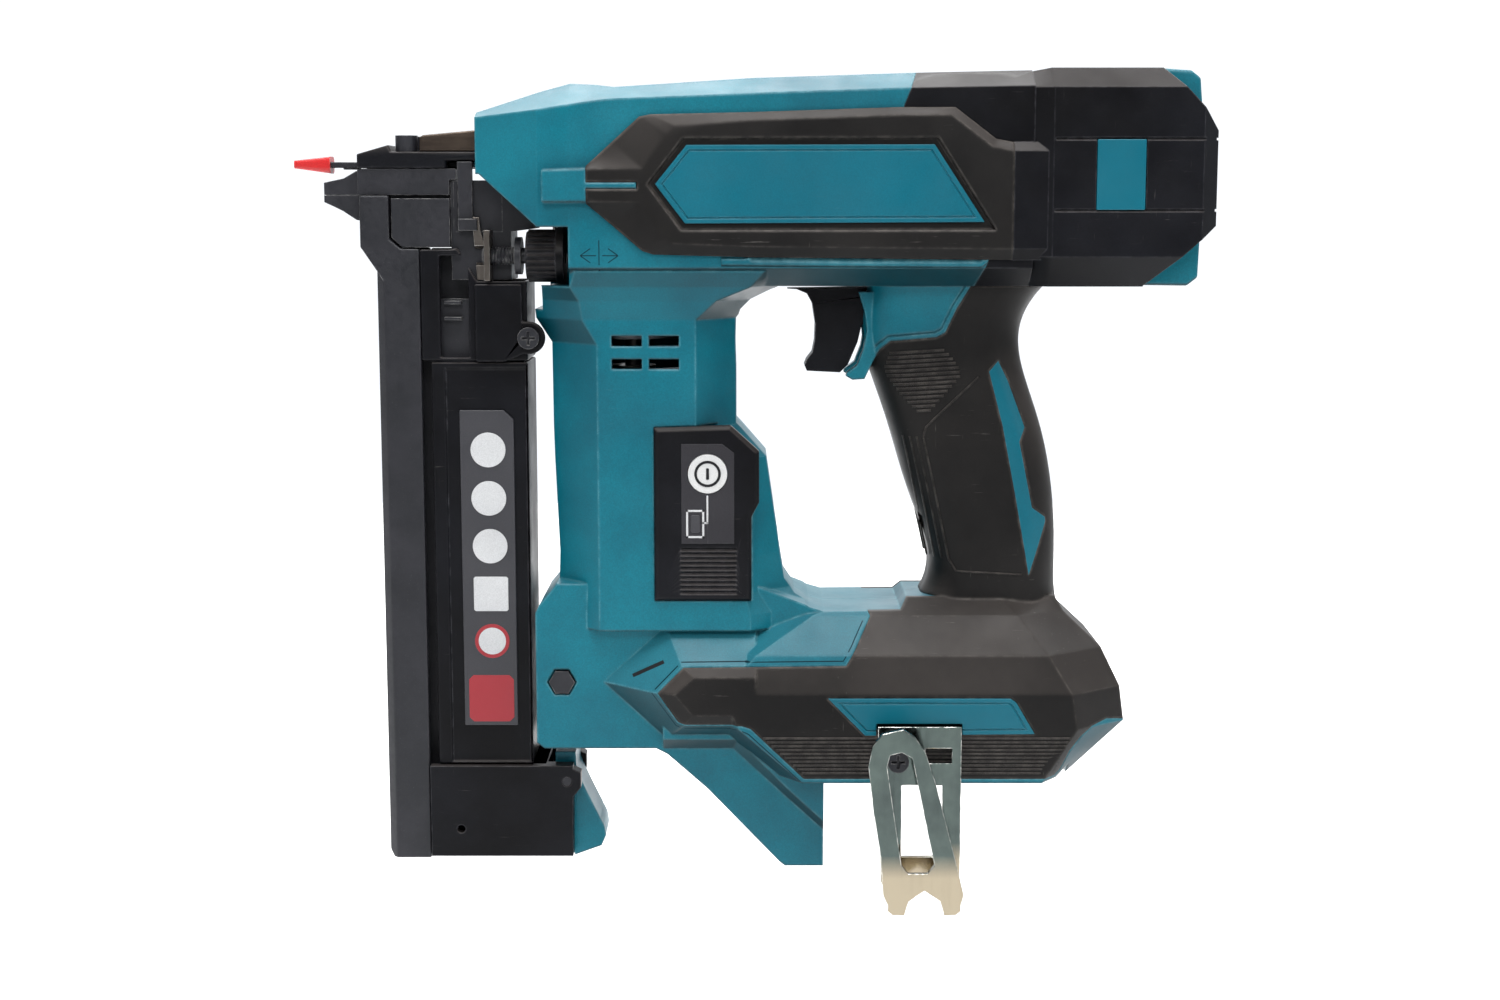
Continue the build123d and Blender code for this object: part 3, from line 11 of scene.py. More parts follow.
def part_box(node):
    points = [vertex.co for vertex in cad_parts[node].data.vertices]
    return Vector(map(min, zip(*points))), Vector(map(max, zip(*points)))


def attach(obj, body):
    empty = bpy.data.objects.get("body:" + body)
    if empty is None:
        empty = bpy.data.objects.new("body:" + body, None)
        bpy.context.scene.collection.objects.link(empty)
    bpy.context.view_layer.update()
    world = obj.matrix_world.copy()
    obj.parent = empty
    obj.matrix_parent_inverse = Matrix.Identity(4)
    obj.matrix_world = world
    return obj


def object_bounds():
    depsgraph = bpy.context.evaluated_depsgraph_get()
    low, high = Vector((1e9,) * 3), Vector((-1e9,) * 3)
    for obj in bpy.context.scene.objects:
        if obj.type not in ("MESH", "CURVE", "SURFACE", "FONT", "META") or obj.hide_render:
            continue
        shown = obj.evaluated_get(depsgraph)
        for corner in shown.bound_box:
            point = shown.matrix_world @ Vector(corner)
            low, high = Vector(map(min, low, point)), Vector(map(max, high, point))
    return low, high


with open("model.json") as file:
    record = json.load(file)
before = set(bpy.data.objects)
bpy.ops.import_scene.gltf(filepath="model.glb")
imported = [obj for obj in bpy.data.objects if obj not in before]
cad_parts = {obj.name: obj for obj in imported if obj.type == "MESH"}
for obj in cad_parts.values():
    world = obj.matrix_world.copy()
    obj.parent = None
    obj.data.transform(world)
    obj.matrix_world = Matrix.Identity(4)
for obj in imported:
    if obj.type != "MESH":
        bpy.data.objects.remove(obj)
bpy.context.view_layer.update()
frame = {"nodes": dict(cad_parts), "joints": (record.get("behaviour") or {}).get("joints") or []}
nodes = frame["nodes"]

MM = 0.001                       # lengths below are in millimetres, in the CAD's frame
LEFT = -1                        # the side with the control panel and the belt hook
RIGHT = 1
BOTH = (LEFT, RIGHT)
BODY_HALF_WIDTH = 34.0           # where a raised line starts if nothing is under its first point


# ---------------------------------------------------------------- materials
def add(tree, kind, inputs=(), **settings):
    """Adds a shader node. Each input is a plain value, or another node's output to link."""
    node = tree.nodes.new("ShaderNode" + kind)
    for key, value in settings.items():
        setattr(node, key, value)
    for key, value in dict(inputs).items():
        if isinstance(value, bpy.types.NodeSocket):
            tree.links.new(value, node.inputs[key])
        else:
            node.inputs[key].default_value = value
    return node


def noise(tree, place, scale, detail=3.0, roughness=0.55):
    """Noise of so many features per metre."""
    inputs = {"Vector": place, "Scale": scale, "Detail": detail, "Roughness": roughness}
    return add(tree, "TexNoise", inputs).outputs["Fac"]


def spread(tree, value, low, high, to_low=0.0, to_high=1.0):
    """Maps a value from one range to another, held at its ends."""
    inputs = {"Value": value, "From Min": low, "From Max": high, "To Min": to_low, "To Max": to_high}
    return add(tree, "MapRange", inputs).outputs["Result"]


def times(tree, a, b):
    """Multiplies two values."""
    return add(tree, "Math", {0: a, 1: b}, operation="MULTIPLY").outputs[0]


def mix(tree, factor, a, b):
    """Mixes two colours."""
    node = add(tree, "Mix", data_type="RGBA")
    for socket, value in ((node.inputs[0], factor), (node.inputs[6], a), (node.inputs[7], b)):
        if isinstance(value, bpy.types.NodeSocket):
            tree.links.new(value, socket)
        else:
            socket.default_value = value
    return node.outputs[2]


def rgb(red, green, blue):
    """A linear colour from an 8-bit sRGB one."""
    def linear(value):
        value = value / 255
        return value / 12.92 if value <= 0.04045 else ((value + 0.055) / 1.055) ** 2.4
    return tuple(linear(value) for value in (red, green, blue)) + (1.0,)


def stretched(tree, place, scale, turn=(0, 0, 0)):
    """The same place, squeezed along its axes, for streaks and scratches."""
    return add(tree, "Mapping", {"Vector": place, "Scale": scale, "Rotation": turn}).outputs["Vector"]


def surface(name, roughness, metallic=0.0, specular=0.5, edge=0.6):
    """A new material with rounded edges and a mask of where they are."""
    mat = bpy.data.materials.new(name)
    mat.use_nodes = True
    tree = mat.node_tree
    shader = tree.nodes["Principled BSDF"]
    shader.inputs["Roughness"].default_value = roughness
    shader.inputs["Metallic"].default_value = metallic
    shader.inputs["Specular IOR Level"].default_value = specular
    place = add(tree, "TexCoord").outputs["Object"]
    rounded = add(tree, "Bevel", {"Radius": edge * MM}, samples=6).outputs["Normal"]
    true_normal = add(tree, "NewGeometry").outputs["Normal"]
    facing = add(tree, "VectorMath", {0: rounded, 1: true_normal}, operation="DOT_PRODUCT").outputs["Value"]
    at_edge = spread(tree, facing, 0.998, 0.93)
    return mat, tree, shader, place, rounded, at_edge


def bump(tree, height, depth, normal, strength=1.0):
    """A bump of so many millimetres over another normal."""
    inputs = {"Height": height, "Distance": depth * MM, "Strength": strength, "Normal": normal}
    return add(tree, "Bump", inputs).outputs["Normal"]


def moulded(name, deep, light, worn, roughness, grain=0.45, depth=0.035, wear=0.35, dust=0.0, edge=0.6,
            specular=0.5, underside_shade=1.0, top_highlight=0.0):
    """Moulded plastic or rubber: slow colour drift, spark-eroded grain, rubbed edges, scuffs and dust.

    Faces that look down are darkened by a factor, a painted shade, and faces that look up are mixed a
    little towards pale grey, a painted highlight.
    """
    mat, tree, shader, place, rounded, at_edge = surface(name, roughness, 0.0, specular, edge)
    drift = spread(tree, noise(tree, place, 22, 4), 0.36, 0.66)
    colour = mix(tree, drift, deep, light)
    fine = noise(tree, place, 1000 / grain, 2, 0.6)
    speck = spread(tree, fine, 0.3, 0.75, 0.82, 1.12)
    shade = add(tree, "CombineColor", {"Red": speck, "Green": speck, "Blue": speck}).outputs["Color"]
    tint = add(tree, "Mix", data_type="RGBA", blend_type="MULTIPLY")
    tint.inputs[0].default_value = 1.0
    tree.links.new(colour, tint.inputs[6])
    tree.links.new(shade, tint.inputs[7])
    patchy = spread(tree, noise(tree, place, 260, 4), 0.42, 0.62, 0.25, 1.0)
    rubbed = times(tree, times(tree, at_edge, patchy), wear)
    colour = mix(tree, rubbed, tint.outputs[2], worn)
    streaks = noise(tree, stretched(tree, place, (90, 900, 1500), (0.2, 0.5, 0.9)), 1.0, 3, 0.7)
    crossed = noise(tree, stretched(tree, place, (1100, 900, 70), (0.1, -0.6, 0.3)), 1.0, 3, 0.7)
    scuff = add(tree, "Math", {0: spread(tree, streaks, 0.67, 0.8), 1: spread(tree, crossed, 0.69, 0.82)},
                operation="MAXIMUM").outputs[0]
    patches = spread(tree, noise(tree, place, 30, 3), 0.45, 0.7)
    marks = times(tree, times(tree, scuff, patches), dust)
    colour = mix(tree, marks, colour, rgb(150, 146, 140))
    up = add(tree, "SeparateXYZ", {"Vector": rounded}).outputs["Z"]
    # Painted highlight: faces that look up are mixed towards a pale warm grey, standing in for the light
    # falling on them from above.
    if top_highlight:
        level = spread(tree, up, 0.03, 0.35, 0.0, top_highlight)
        painted_top_highlight = times(tree, level, spread(tree, drift, 0.0, 1.0, 0.6, 1.0))
        colour = mix(tree, painted_top_highlight, colour, rgb(158, 148, 142))
    # Painted shade: faces that look down are darkened, standing in for the shade beneath the tool.
    if underside_shade < 1.0:
        painted_underside_shade = spread(tree, up, -0.6, -0.05, underside_shade, 1.0)
        colour = add(tree, "VectorMath", {0: colour, 3: painted_underside_shade}, operation="SCALE").outputs["Vector"]
    tree.links.new(colour, shader.inputs["Base Color"])
    gloss = spread(tree, noise(tree, place, 60, 4), 0.3, 0.7, roughness - 0.06, roughness + 0.09)
    tree.links.new(gloss, shader.inputs["Roughness"])
    ripple = bump(tree, noise(tree, place, 90, 2), 0.05, rounded, 0.5)
    tree.links.new(bump(tree, fine, depth, ripple, 0.9), shader.inputs["Normal"])
    return mat


def metal(name, colour, stain, roughness, brushed=(900, 900, 60), depth=0.006, edge=0.4, wear=0.5,
          bright=(0.7, 0.69, 0.67, 1.0), metallic=1.0, fleck=0.0, dent=0.03, reflection_by_height=None):
    """Metal with fine tool marks, stains that change its gloss, and edges rubbed bright.

    Reflection by height is two heights in millimetres and a colour: from the upper height down to the lower
    one the metal turns to that colour, a painted reflection of the surroundings.
    """
    mat, tree, shader, place, rounded, at_edge = surface(name, roughness, metallic, 0.5, edge)
    lines = noise(tree, stretched(tree, place, brushed, (0.0, 0.12, 0.0)), 1.0, 4, 0.65)
    cloud = spread(tree, noise(tree, place, 55, 5, 0.6), 0.38, 0.68)
    tint = mix(tree, cloud, colour, stain)
    # Painted reflection: the colour changes with height, standing in for the surroundings mirrored in the
    # metal.
    if reflection_by_height:
        low_end, high_end, reflected_tint = reflection_by_height
        height = add(tree, "SeparateXYZ", {"Vector": place}).outputs["Z"]
        tint = mix(tree, spread(tree, height, high_end * MM, low_end * MM), tint, reflected_tint)
    patchy = spread(tree, noise(tree, place, 320, 3), 0.4, 0.62)
    # Where the edge colour is near white and the wear at full strength, as on the nickel hook, these bright
    # edges are painted highlights.
    tint = mix(tree, times(tree, times(tree, at_edge, patchy), wear), tint, bright)
    if fleck:
        pits = spread(tree, noise(tree, place, 2600, 2), 0.66, 0.78)
        tint = mix(tree, times(tree, pits, fleck), tint, bright)
    tree.links.new(tint, shader.inputs["Base Color"])
    gloss = spread(tree, lines, 0.3, 0.7, roughness - 0.07, roughness + 0.12)
    tree.links.new(gloss, shader.inputs["Roughness"])
    dents = bump(tree, noise(tree, place, 140, 3), dent, rounded, 0.5)
    tree.links.new(bump(tree, lines, depth, dents, 0.8), shader.inputs["Normal"])
    return mat


TEAL_DEEP = rgb(0, 90, 107)
TEAL_LIGHT = rgb(1, 110, 127)
TEAL_WORN = rgb(104, 166, 178)
# The moulded finishes darken faces that look down, a painted shade, and lighten faces that look up, a
# painted highlight, by their last two values where given.
FINISHES = {
    "teal_plastic": moulded("teal_plastic", TEAL_DEEP, TEAL_LIGHT, TEAL_WORN, 0.38, wear=0.5, dust=0.2,
                            edge=1.3, specular=0.3, underside_shade=0.2, top_highlight=0.05),
    "teal_trim": moulded("teal_trim", rgb(0, 92, 110), rgb(0, 100, 119), TEAL_WORN, 0.36, grain=0.3,
                         wear=0.4, dust=0.1, edge=0.35, specular=0.3),
    "rubber": moulded("rubber", rgb(11, 10, 10), rgb(27, 25, 24), rgb(106, 101, 96), 0.46, grain=0.35,
                      depth=0.035, wear=0.5, dust=0.5, edge=1.6, specular=0.2, underside_shade=0.5, top_highlight=0.13),
    "black_plastic": moulded("black_plastic", rgb(7, 7, 10), rgb(20, 21, 26), rgb(104, 104, 110), 0.38,
                             grain=0.4, wear=0.4, dust=0.3, edge=0.7, specular=0.14, underside_shade=0.6,
                             top_highlight=0.11),
    "red_plastic": moulded("red_plastic", rgb(196, 34, 36), rgb(212, 48, 48), rgb(240, 130, 124), 0.34,
                           grain=0.3, depth=0.015, wear=0.4, dust=0.1, edge=0.4),
    "pale_plastic": moulded("pale_plastic", rgb(196, 197, 197), rgb(214, 214, 213), rgb(240, 240, 240), 0.4,
                            grain=0.3, depth=0.015, wear=0.2, edge=0.4),
    "bumper_rubber": moulded("bumper_rubber", rgb(20, 20, 22), rgb(28, 28, 29), rgb(70, 70, 70), 0.6,
                             specular=0.3),
    "board_green": moulded("board_green", rgb(10, 60, 34), rgb(16, 76, 44), rgb(60, 110, 80), 0.4,
                           grain=0.8),
    "black_metal": metal("black_metal", (0.012, 0.013, 0.017, 1), (0.022, 0.022, 0.028, 1), 0.42,
                         (500, 500, 500), 0.02, wear=0.3, metallic=0.25, fleck=0.05),
    "bronze_metal": metal("bronze_metal", rgb(84, 74, 66), rgb(66, 58, 53), 0.38, (60, 1300, 900), 0.008,
                          wear=0.6, bright=rgb(176, 164, 150)),
    "tool_steel": metal("tool_steel", rgb(118, 112, 106), rgb(90, 84, 79), 0.34, (900, 900, 80), 0.006),
    "die_cast": metal("die_cast", rgb(150, 150, 152), rgb(124, 124, 127), 0.5, (600, 600, 600), 0.03),
    "aluminium": metal("aluminium", rgb(190, 191, 194), rgb(168, 169, 172), 0.3, (60, 1500, 1500), 0.006),
    "copper": metal("copper", rgb(190, 108, 68), rgb(152, 80, 50), 0.35, (1500, 1500, 200), 0.01),
    # Painted reflection and painted highlights: the hook turns from greenish grey above to warm pale below,
    # standing in for the surroundings it mirrors, and its edges go near white, standing in for edge
    # highlights.
    "bright_nickel": metal("bright_nickel", rgb(90, 101, 97), rgb(72, 80, 79), 0.15, (420, 420, 30), 0.003,
                           edge=0.5, wear=1.0, bright=rgb(246, 244, 238), dent=0.1,
                           reflection_by_height=(-233.0, -225.0, rgb(168, 157, 136))),
}
LABEL_GREY = moulded("label_grey", rgb(48, 48, 53), rgb(56, 56, 61), rgb(130, 132, 136), 0.42, grain=0.25,
                     depth=0.01, wear=0.3, dust=0.3, edge=0.2)
LABEL_WHITE = moulded("label_white", rgb(190, 191, 193), rgb(208, 209, 210), rgb(230, 230, 230), 0.4,
                      grain=0.25, depth=0.01, wear=0.2, dust=0.3, edge=0.2)
LABEL_RED = moulded("label_red", rgb(150, 34, 44), rgb(164, 42, 50), rgb(220, 120, 120), 0.4, grain=0.25,
                    depth=0.01, wear=0.2, dust=0.3, edge=0.2)
# Painted shade: engraved lines are drawn as flat strips in the dark teal of shaded plastic.
GROOVE_SHADE = moulded("groove_shade", rgb(0, 34, 44), rgb(0, 42, 53), rgb(0, 56, 70), 0.6, wear=0.1, edge=0.1,
                 specular=0.2)
PANEL_GREY = moulded("panel_grey", rgb(44, 43, 47), rgb(52, 51, 55), rgb(110, 110, 112), 0.45, grain=0.3,
                     depth=0.015, wear=0.3, dust=0.2, edge=0.3, specular=0.2)
INK = moulded("ink", rgb(16, 16, 19), rgb(24, 24, 27), rgb(60, 60, 64), 0.5, wear=0.1, edge=0.1,
              specular=0.3)
for node in nodes.values():
    slot = node.data.materials[0].name.split(".")[0]
    for index in range(len(node.data.materials)):
        node.material_slots[index].link = "OBJECT"
        node.material_slots[index].material = FINISHES[slot]


# Real rounded edges on the straight-sided pieces, in millimetres.
EDGE_RADII = {
    0.9: ("head_cover", "corner_bumpers", "nose_cover", "trigger", "latch_lever"),
    0.6: ("magazine_rail", "nose_base", "nose_plate", "side_plate", "magazine_upper", "top_shield",
          "magazine_cover"),
    0.45: ("body_panel_left", "body_panel_right", "control_panel", "head_inserts", "belt_hook"),
    0.25: ("name_plates", "foot_inlays", "contact_arm", "depth_plate", "power_button"),
}
for radius, names in EDGE_RADII.items():
    for name in names:
        weld = nodes[name].modifiers.new("weld", "WELD")
        weld.merge_threshold = 0.002 * MM
        rounding = nodes[name].modifiers.new("round_edges", "BEVEL")
        rounding.width = radius * MM
        rounding.segments = 2
        rounding.limit_method = "ANGLE"
        rounding.angle_limit = math.radians(28)
        rounding.use_clamp_overlap = True
        shading = nodes[name].modifiers.new("shading", "WEIGHTED_NORMAL")
        shading.weight = 80


# ---------------------------------------------------------------- pieces added to the CAD
def new_piece(name, vertices, faces, body, finish, round_edge=0.0):
    """A mesh, given in millimetres, that rides on a CAD body."""
    mesh = bpy.data.meshes.new(name)
    mesh.from_pydata([tuple(MM * value for value in vertex) for vertex in vertices], [], faces)
    work = bmesh.new()
    work.from_mesh(mesh)
    bmesh.ops.recalc_face_normals(work, faces=work.faces)
    work.to_mesh(mesh)
    work.free()
    mesh.materials.append(finish)
    piece = bpy.data.objects.new(name, mesh)
    bpy.context.scene.collection.objects.link(piece)
    if round_edge:
        rounding = piece.modifiers.new("round_edge", "BEVEL")
        rounding.width = round_edge * MM
        rounding.segments = 2
    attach(piece, body)
    return piece


def plate_mesh(outline, y_back, y_front):
    """Vertices and faces of a flat plate with an outline in X and Z."""
    count = len(outline)
    vertices = [(x, y, z) for y in (y_back, y_front) for x, z in outline]
    faces = [tuple(range(count)), tuple(range(count, 2 * count))]
    faces += [(i, i + count, (i + 1) % count + count, (i + 1) % count) for i in range(count)]
    return vertices, faces


def plates(name, outlines, y_back, y_front, body, finish, round_edge=0.12):
    """Flat plates with outlines in X and Z, as one piece."""
    vertices, faces = [], []
    for outline in outlines:
        more, joined = plate_mesh(outline, y_back, y_front)
        faces += [tuple(len(vertices) + i for i in face) for face in joined]
        vertices += more
    return new_piece(name, vertices, faces, body, finish, round_edge)


def arc(x, z, radius, start, end, steps=40):
    """Points along a turn from one angle to another, in degrees, without the last one."""
    angles = [math.radians(start + (end - start) * i / steps) for i in range(steps)]
    return [(x + radius * math.cos(angle), z + radius * math.sin(angle)) for angle in angles]


def disc(x, z, radius, steps=40):
    """A round outline."""
    return arc(x, z, radius, 0, 360, steps)


def box_outline(x_low, x_high, z_low, z_high, corner=0.8):
    """A rectangle with cut corners."""
    return [
        (x_low + corner, z_low), (x_high - corner, z_low),
        (x_high, z_low + corner), (x_high, z_high - corner),
        (x_high - corner, z_high), (x_low + corner, z_high),
        (x_low, z_high - corner), (x_low, z_low + corner),
    ]


def frame_outlines(x_low, x_high, z_low, z_high, width):
    """The four bars of a rectangular frame."""
    return [
        box_outline(x_low, x_high, z_high - width, z_high, 0.1),
        box_outline(x_low, x_high, z_low, z_low + width, 0.1),
        box_outline(x_low, x_low + width, z_low, z_high, 0.1),
        box_outline(x_high - width, x_high, z_low, z_high, 0.1),
    ]


def corners(name):
    """A CAD node's lowest and highest corner at rest, in millimetres, to the nearest micrometre."""
    return [[round(value / MM, 3) for value in corner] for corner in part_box(name)]


def cad_surface(*names):
    """A search tree of some CAD nodes' surface at rest."""
    vertices, faces = [], []
    for name in names:
        node = nodes[name]
        start = len(vertices)
        vertices += [node.matrix_world @ vertex.co for vertex in node.data.vertices]
        faces += [[start + i for i in polygon.vertices] for polygon in node.data.polygons]
    return BVHTree.FromPolygons(vertices, faces)


def depth_at(surface_tree, x, z, side, fallback):
    """Y of the surface at a place, seen from one side, in millimetres."""
    outside = side * 200
    hit = surface_tree.ray_cast(Vector((x, outside, z)) * MM, Vector((0, -side, 0)))[0]
    return hit.y / MM if hit else fallback


def resampled(path, step):
    """A path with points at most a step apart."""
    points = [path[0]]
    for start, end in zip(path, path[1:]):
        count = max(1, round(math.dist(start, end) / step))
        points += [(start[0] + (end[0] - start[0]) * i / count, start[1] + (end[1] - start[1]) * i / count)
                   for i in range(1, count + 1)]
    return points


def strip_mesh(surface_tree, path, side, width, height, step):
    """Vertices and faces of a raised line with sloped flanks that follows a path over the surface."""
    points = resampled(path, step)
    profile = [(-width / 2, -0.25), (-0.28 * width, height), (0.28 * width, height), (width / 2, -0.25)]
    vertices = []
    last = side * BODY_HALF_WIDTH
    for index, (x, z) in enumerate(points):
        before = points[max(index - 1, 0)]
        after = points[min(index + 1, len(points) - 1)]
        length = math.dist(before, after)
        across = (-(after[1] - before[1]) / length, (after[0] - before[0]) / length)
        for offset, rise in profile:
            px, pz = x + across[0] * offset, z + across[1] * offset
            last = depth_at(surface_tree, px, pz, side, last)
            vertices.append((px, last + side * rise, pz))
    faces = []
    for index in range(len(points) - 1):
        a, b = 4 * index, 4 * index + 4
        faces += [(a + k, a + (k + 1) % 4, b + (k + 1) % 4, b + k) for k in range(4)]
    faces += [(0, 1, 2, 3), tuple(4 * len(points) - 4 + k for k in range(4))]
    return vertices, faces


def lines(name, surface_tree, paths, sides, width, height, slot, finish, body="root", step=2.0):
    """Raised lines over the CAD surface, on one side or both, as one piece."""
    vertices, faces = [], []
    for side in sides:
        for path in paths:
            more, joined = strip_mesh(surface_tree, path, side, width, height, step)
            faces += [tuple(len(vertices) + i for i in face) for face in joined]
            vertices += more
    return new_piece(name, vertices, faces, body, finish)


def hatch(polygon, pitch, slope=0.0):
    """Nearly level lines that fill a convex outline."""
    middle = sum(x for x, _ in polygon) / len(polygon)
    levels = [z - slope * (x - middle) for x, z in polygon]
    paths = []
    level = max(levels) - pitch / 2
    while level > min(levels):
        crossings = []
        for index, (x, z) in enumerate(polygon):
            next_x, next_z = polygon[(index + 1) % len(polygon)]
            here = levels[index] - level
            there = levels[(index + 1) % len(polygon)] - level
            if here * there < 0:
                share = here / (here - there)
                crossings.append((x + (next_x - x) * share, z + (next_z - z) * share))
        if len(crossings) >= 2 and math.dist(min(crossings), max(crossings)) > 2 * pitch:
            paths.append([min(crossings), max(crossings)])
        level -= pitch
    return paths


# Outlines in X and Z on the sides of the tool, in millimetres in the CAD's frame.
HANDLE_PATCH = [
    (198.9, -54.4), (217.4, -53.7), (220.4, -56.4), (223.5, -60.9), (223.5, -63.4), (213.1, -75.4),
    (211.2, -76.7), (209.1, -76.4), (203.1, -70.4), (198.0, -63.4), (197.0, -60.4),
]
FOOT_RIBS = [(153.5, -187.4), (262.0, -187.4), (259.0, -194.0), (256.6, -201.2), (168.4, -201.2)]
GRIP_LINE = [
    (230.0, -63.4), (214.2, -78.4), (211.7, -81.0), (210.7, -84.5), (214.4, -100.7), (220.3, -128.3),
    (222.9, -132.4), (246.2, -133.7),
]
GUARD_LINES = [
    [(190.3, -146.8), (185.2, -156.4), (182.3, -161.1), (125.8, -161.7), (115.4, -172.6), (123.8, -184.8),
     (127.0, -185.6), (147.0, -185.6), (149.3, -186.6), (167.9, -204.2)],
]
PICTOGRAM = [
    [(92.0, -20.8), (95.4, -18.4)], [(92.0, -20.8), (95.4, -23.2)], [(92.0, -20.8), (97.4, -20.8)],
    [(104.9, -20.8), (101.5, -18.4)], [(104.9, -20.8), (101.5, -23.2)], [(104.9, -20.8), (99.5, -20.8)],
    [(98.4, -15.6), (98.4, -26.0)],
]


def add_grip_details():
    """Ribbed patches, lines and beads on the rubber and the housing."""
    grips = cad_surface("grip_left", "grip_right", "housing_left", "housing_right")
    body = cad_surface("housing_left", "housing_right", "body_panel_left", "body_panel_right")
    rubber, teal = FINISHES["rubber"], FINISHES["teal_plastic"]
    lines("handle_ribs", grips, hatch(HANDLE_PATCH, 1.6, 0.06), BOTH, 1.25, 0.3, "rubber", rubber)
    lines("foot_ribs", grips, hatch(FOOT_RIBS, 1.4), BOTH, 1.1, 0.32, "rubber", rubber, step=6.0)
    lines("grip_lines", grips, [GRIP_LINE], BOTH, 0.9, 0.35, "rubber", rubber)
    shifted = [[(x - 2.3 * k, z) for x, z in GRIP_LINE[3:6]] for k in (1, 2, 3)]
    lines("grip_ribs", grips, shifted, BOTH, 0.8, 0.2, "rubber", rubber)
    # Painted shade: the engraved lines here and the depth marks are flat dark strips.
    lines("guard_lines", grips, GUARD_LINES, BOTH, 0.6, 0.03, "teal_plastic", GROOVE_SHADE)
    lines("front_slots", grips, [[(108.5, -168.0), (119.6, -162.3)]], BOTH, 1.9, 0.03, "black_plastic", INK)
    lines("side_beads", body, [[(140.0, -22.9), (230.6, -23.6)]], BOTH, 3.4, 0.9, "teal_plastic", teal)
    lines("depth_marks", body, PICTOGRAM, BOTH, 0.55, 0.03, "teal_plastic", GROOVE_SHADE)


def add_magazine_label():
    """A grey plate with a column of plain blank patches on the sliding cover."""
    (x_low, y_low, z_low), (x_high, _, z_high) = corners("magazine_cover")
    face = y_low + 0.8           # the flat of the cover lies inside its rim
    left, right, bottom, top = x_low + 9.6, x_high - 5.3, z_low + 14.4, z_high - 16.9
    outline = [(left, bottom), (right, bottom), (right, top - 3.3), (right - 3.5, top), (left, top)]
    radius = 6.2
    upper = [(left + 9.9, top - 14.1), (left + 9.9, top - 31.4), (left + 10.1, top - 48.6)]
    square = box_outline(left + 4.0, left + 16.3, top - 72.1, top - 59.6, 0.6)
    lowest_x, lowest_z = left + 10.3, top - 83.0
    white = [disc(x, z, radius) for x, z in upper] + [square, disc(lowest_x, lowest_z, radius - 1.3)]
    field = box_outline(left + 1.7, right - 1.3, bottom + 1.4, bottom + 18.4, 1.6)
    red = [disc(lowest_x, lowest_z, radius), field]
    body = "magazine_slider"
    plates("label_plate", [outline], face + 0.2, face - 0.9, body, LABEL_GREY, 0.3)
    plates("label_patches", white, face - 0.8, face - 1.1, body, LABEL_WHITE, 0.08)
    plates("label_marks", red, face - 0.8, face - 1.02, body, LABEL_RED, 0.08)


def add_panel_label():
    """The printed plate of the control panel, with a line from the button to a lamp window."""
    (x_low, face, z_low), (x_high, _, z_high) = corners("control_panel")
    (button_left, _, button_bottom), (button_right, _, button_top) = corners("power_button")
    left, right, bottom, top = x_low + 9.6, x_high - 8.7, z_low + 20.6, z_high - 6.3
    x, z = (button_left + button_right) / 2, (button_bottom + button_top) / 2
    hole = button_right - x + 0.2
    left_half = [(left, bottom), (x, bottom)] + arc(x, z, hole, 270, 90)
    left_half += [(x, z + hole), (x, top), (left, top)]
    right_half = [(x, bottom), (right, bottom), (right, top - 3.1), (right - 4.2, top), (x, top)]
    right_half += arc(x, z, hole, 90, -90) + [(x, z - hole)]
    halves = [left_half, right_half]
    plates("panel_plate", halves, face + 0.3, face - 0.25, "root", PANEL_GREY, 0.0)

    lamp_left, lamp_right, lamp_bottom, lamp_top = left + 1.6, left + 7.9, bottom + 2.0, bottom + 11.9
    line_bottom = lamp_bottom + 5.0
    line = [
        box_outline(x - 0.4, x + 0.2, line_bottom + 0.2, z - hole - 0.6, 0.1),
        box_outline(lamp_right - 0.7, x + 0.2, line_bottom, line_bottom + 0.6, 0.1),
    ]
    plates("panel_line", line, face, face - 0.36, "root", LABEL_WHITE, 0.0)
    rim = frame_outlines(lamp_left, lamp_right, lamp_bottom, lamp_top, 0.7)
    plates("lamp_frame", rim, face, face - 0.36, "root", LABEL_WHITE, 0.0)
    lens = box_outline(lamp_left + 1.6, lamp_right - 1.5, lamp_bottom + 1.9, lamp_top - 1.8, 0.5)
    plates("lamp_lens", [lens], face, face - 0.5, "root", LABEL_GREY, 0.2)


def add_power_symbol():
    """A plain ring and bar on the face of the power button."""
    (x_low, back, z_low), (x_high, _, z_high) = corners("power_button")
    x, z = (x_low + x_high) / 2, (z_low + z_high) / 2
    front = back - 0.15
    inner, outer, steps = 3.7, 4.6, 40
    vertices = []
    for y in (back, front):
        for radius in (inner, outer):
            vertices += [(px, y, pz) for px, pz in disc(x, z, radius, steps)]
    faces = []
    for i in range(steps):
        n = (i + 1) % steps
        for a, b in ((0, 1), (1, 3), (3, 2), (2, 0)):
            faces.append((a * steps + i, a * steps + n, b * steps + n, b * steps + i))
    new_piece("power_ring", vertices, faces, "power_button", INK)
    bar = box_outline(x - 0.5, x + 0.5, z - 2.0, z + 2.0, 0.2)
    plates("power_bar", [bar], back, front, "power_button", INK, 0.0)


add_grip_details()
add_magazine_label()
add_panel_label()
add_power_symbol()


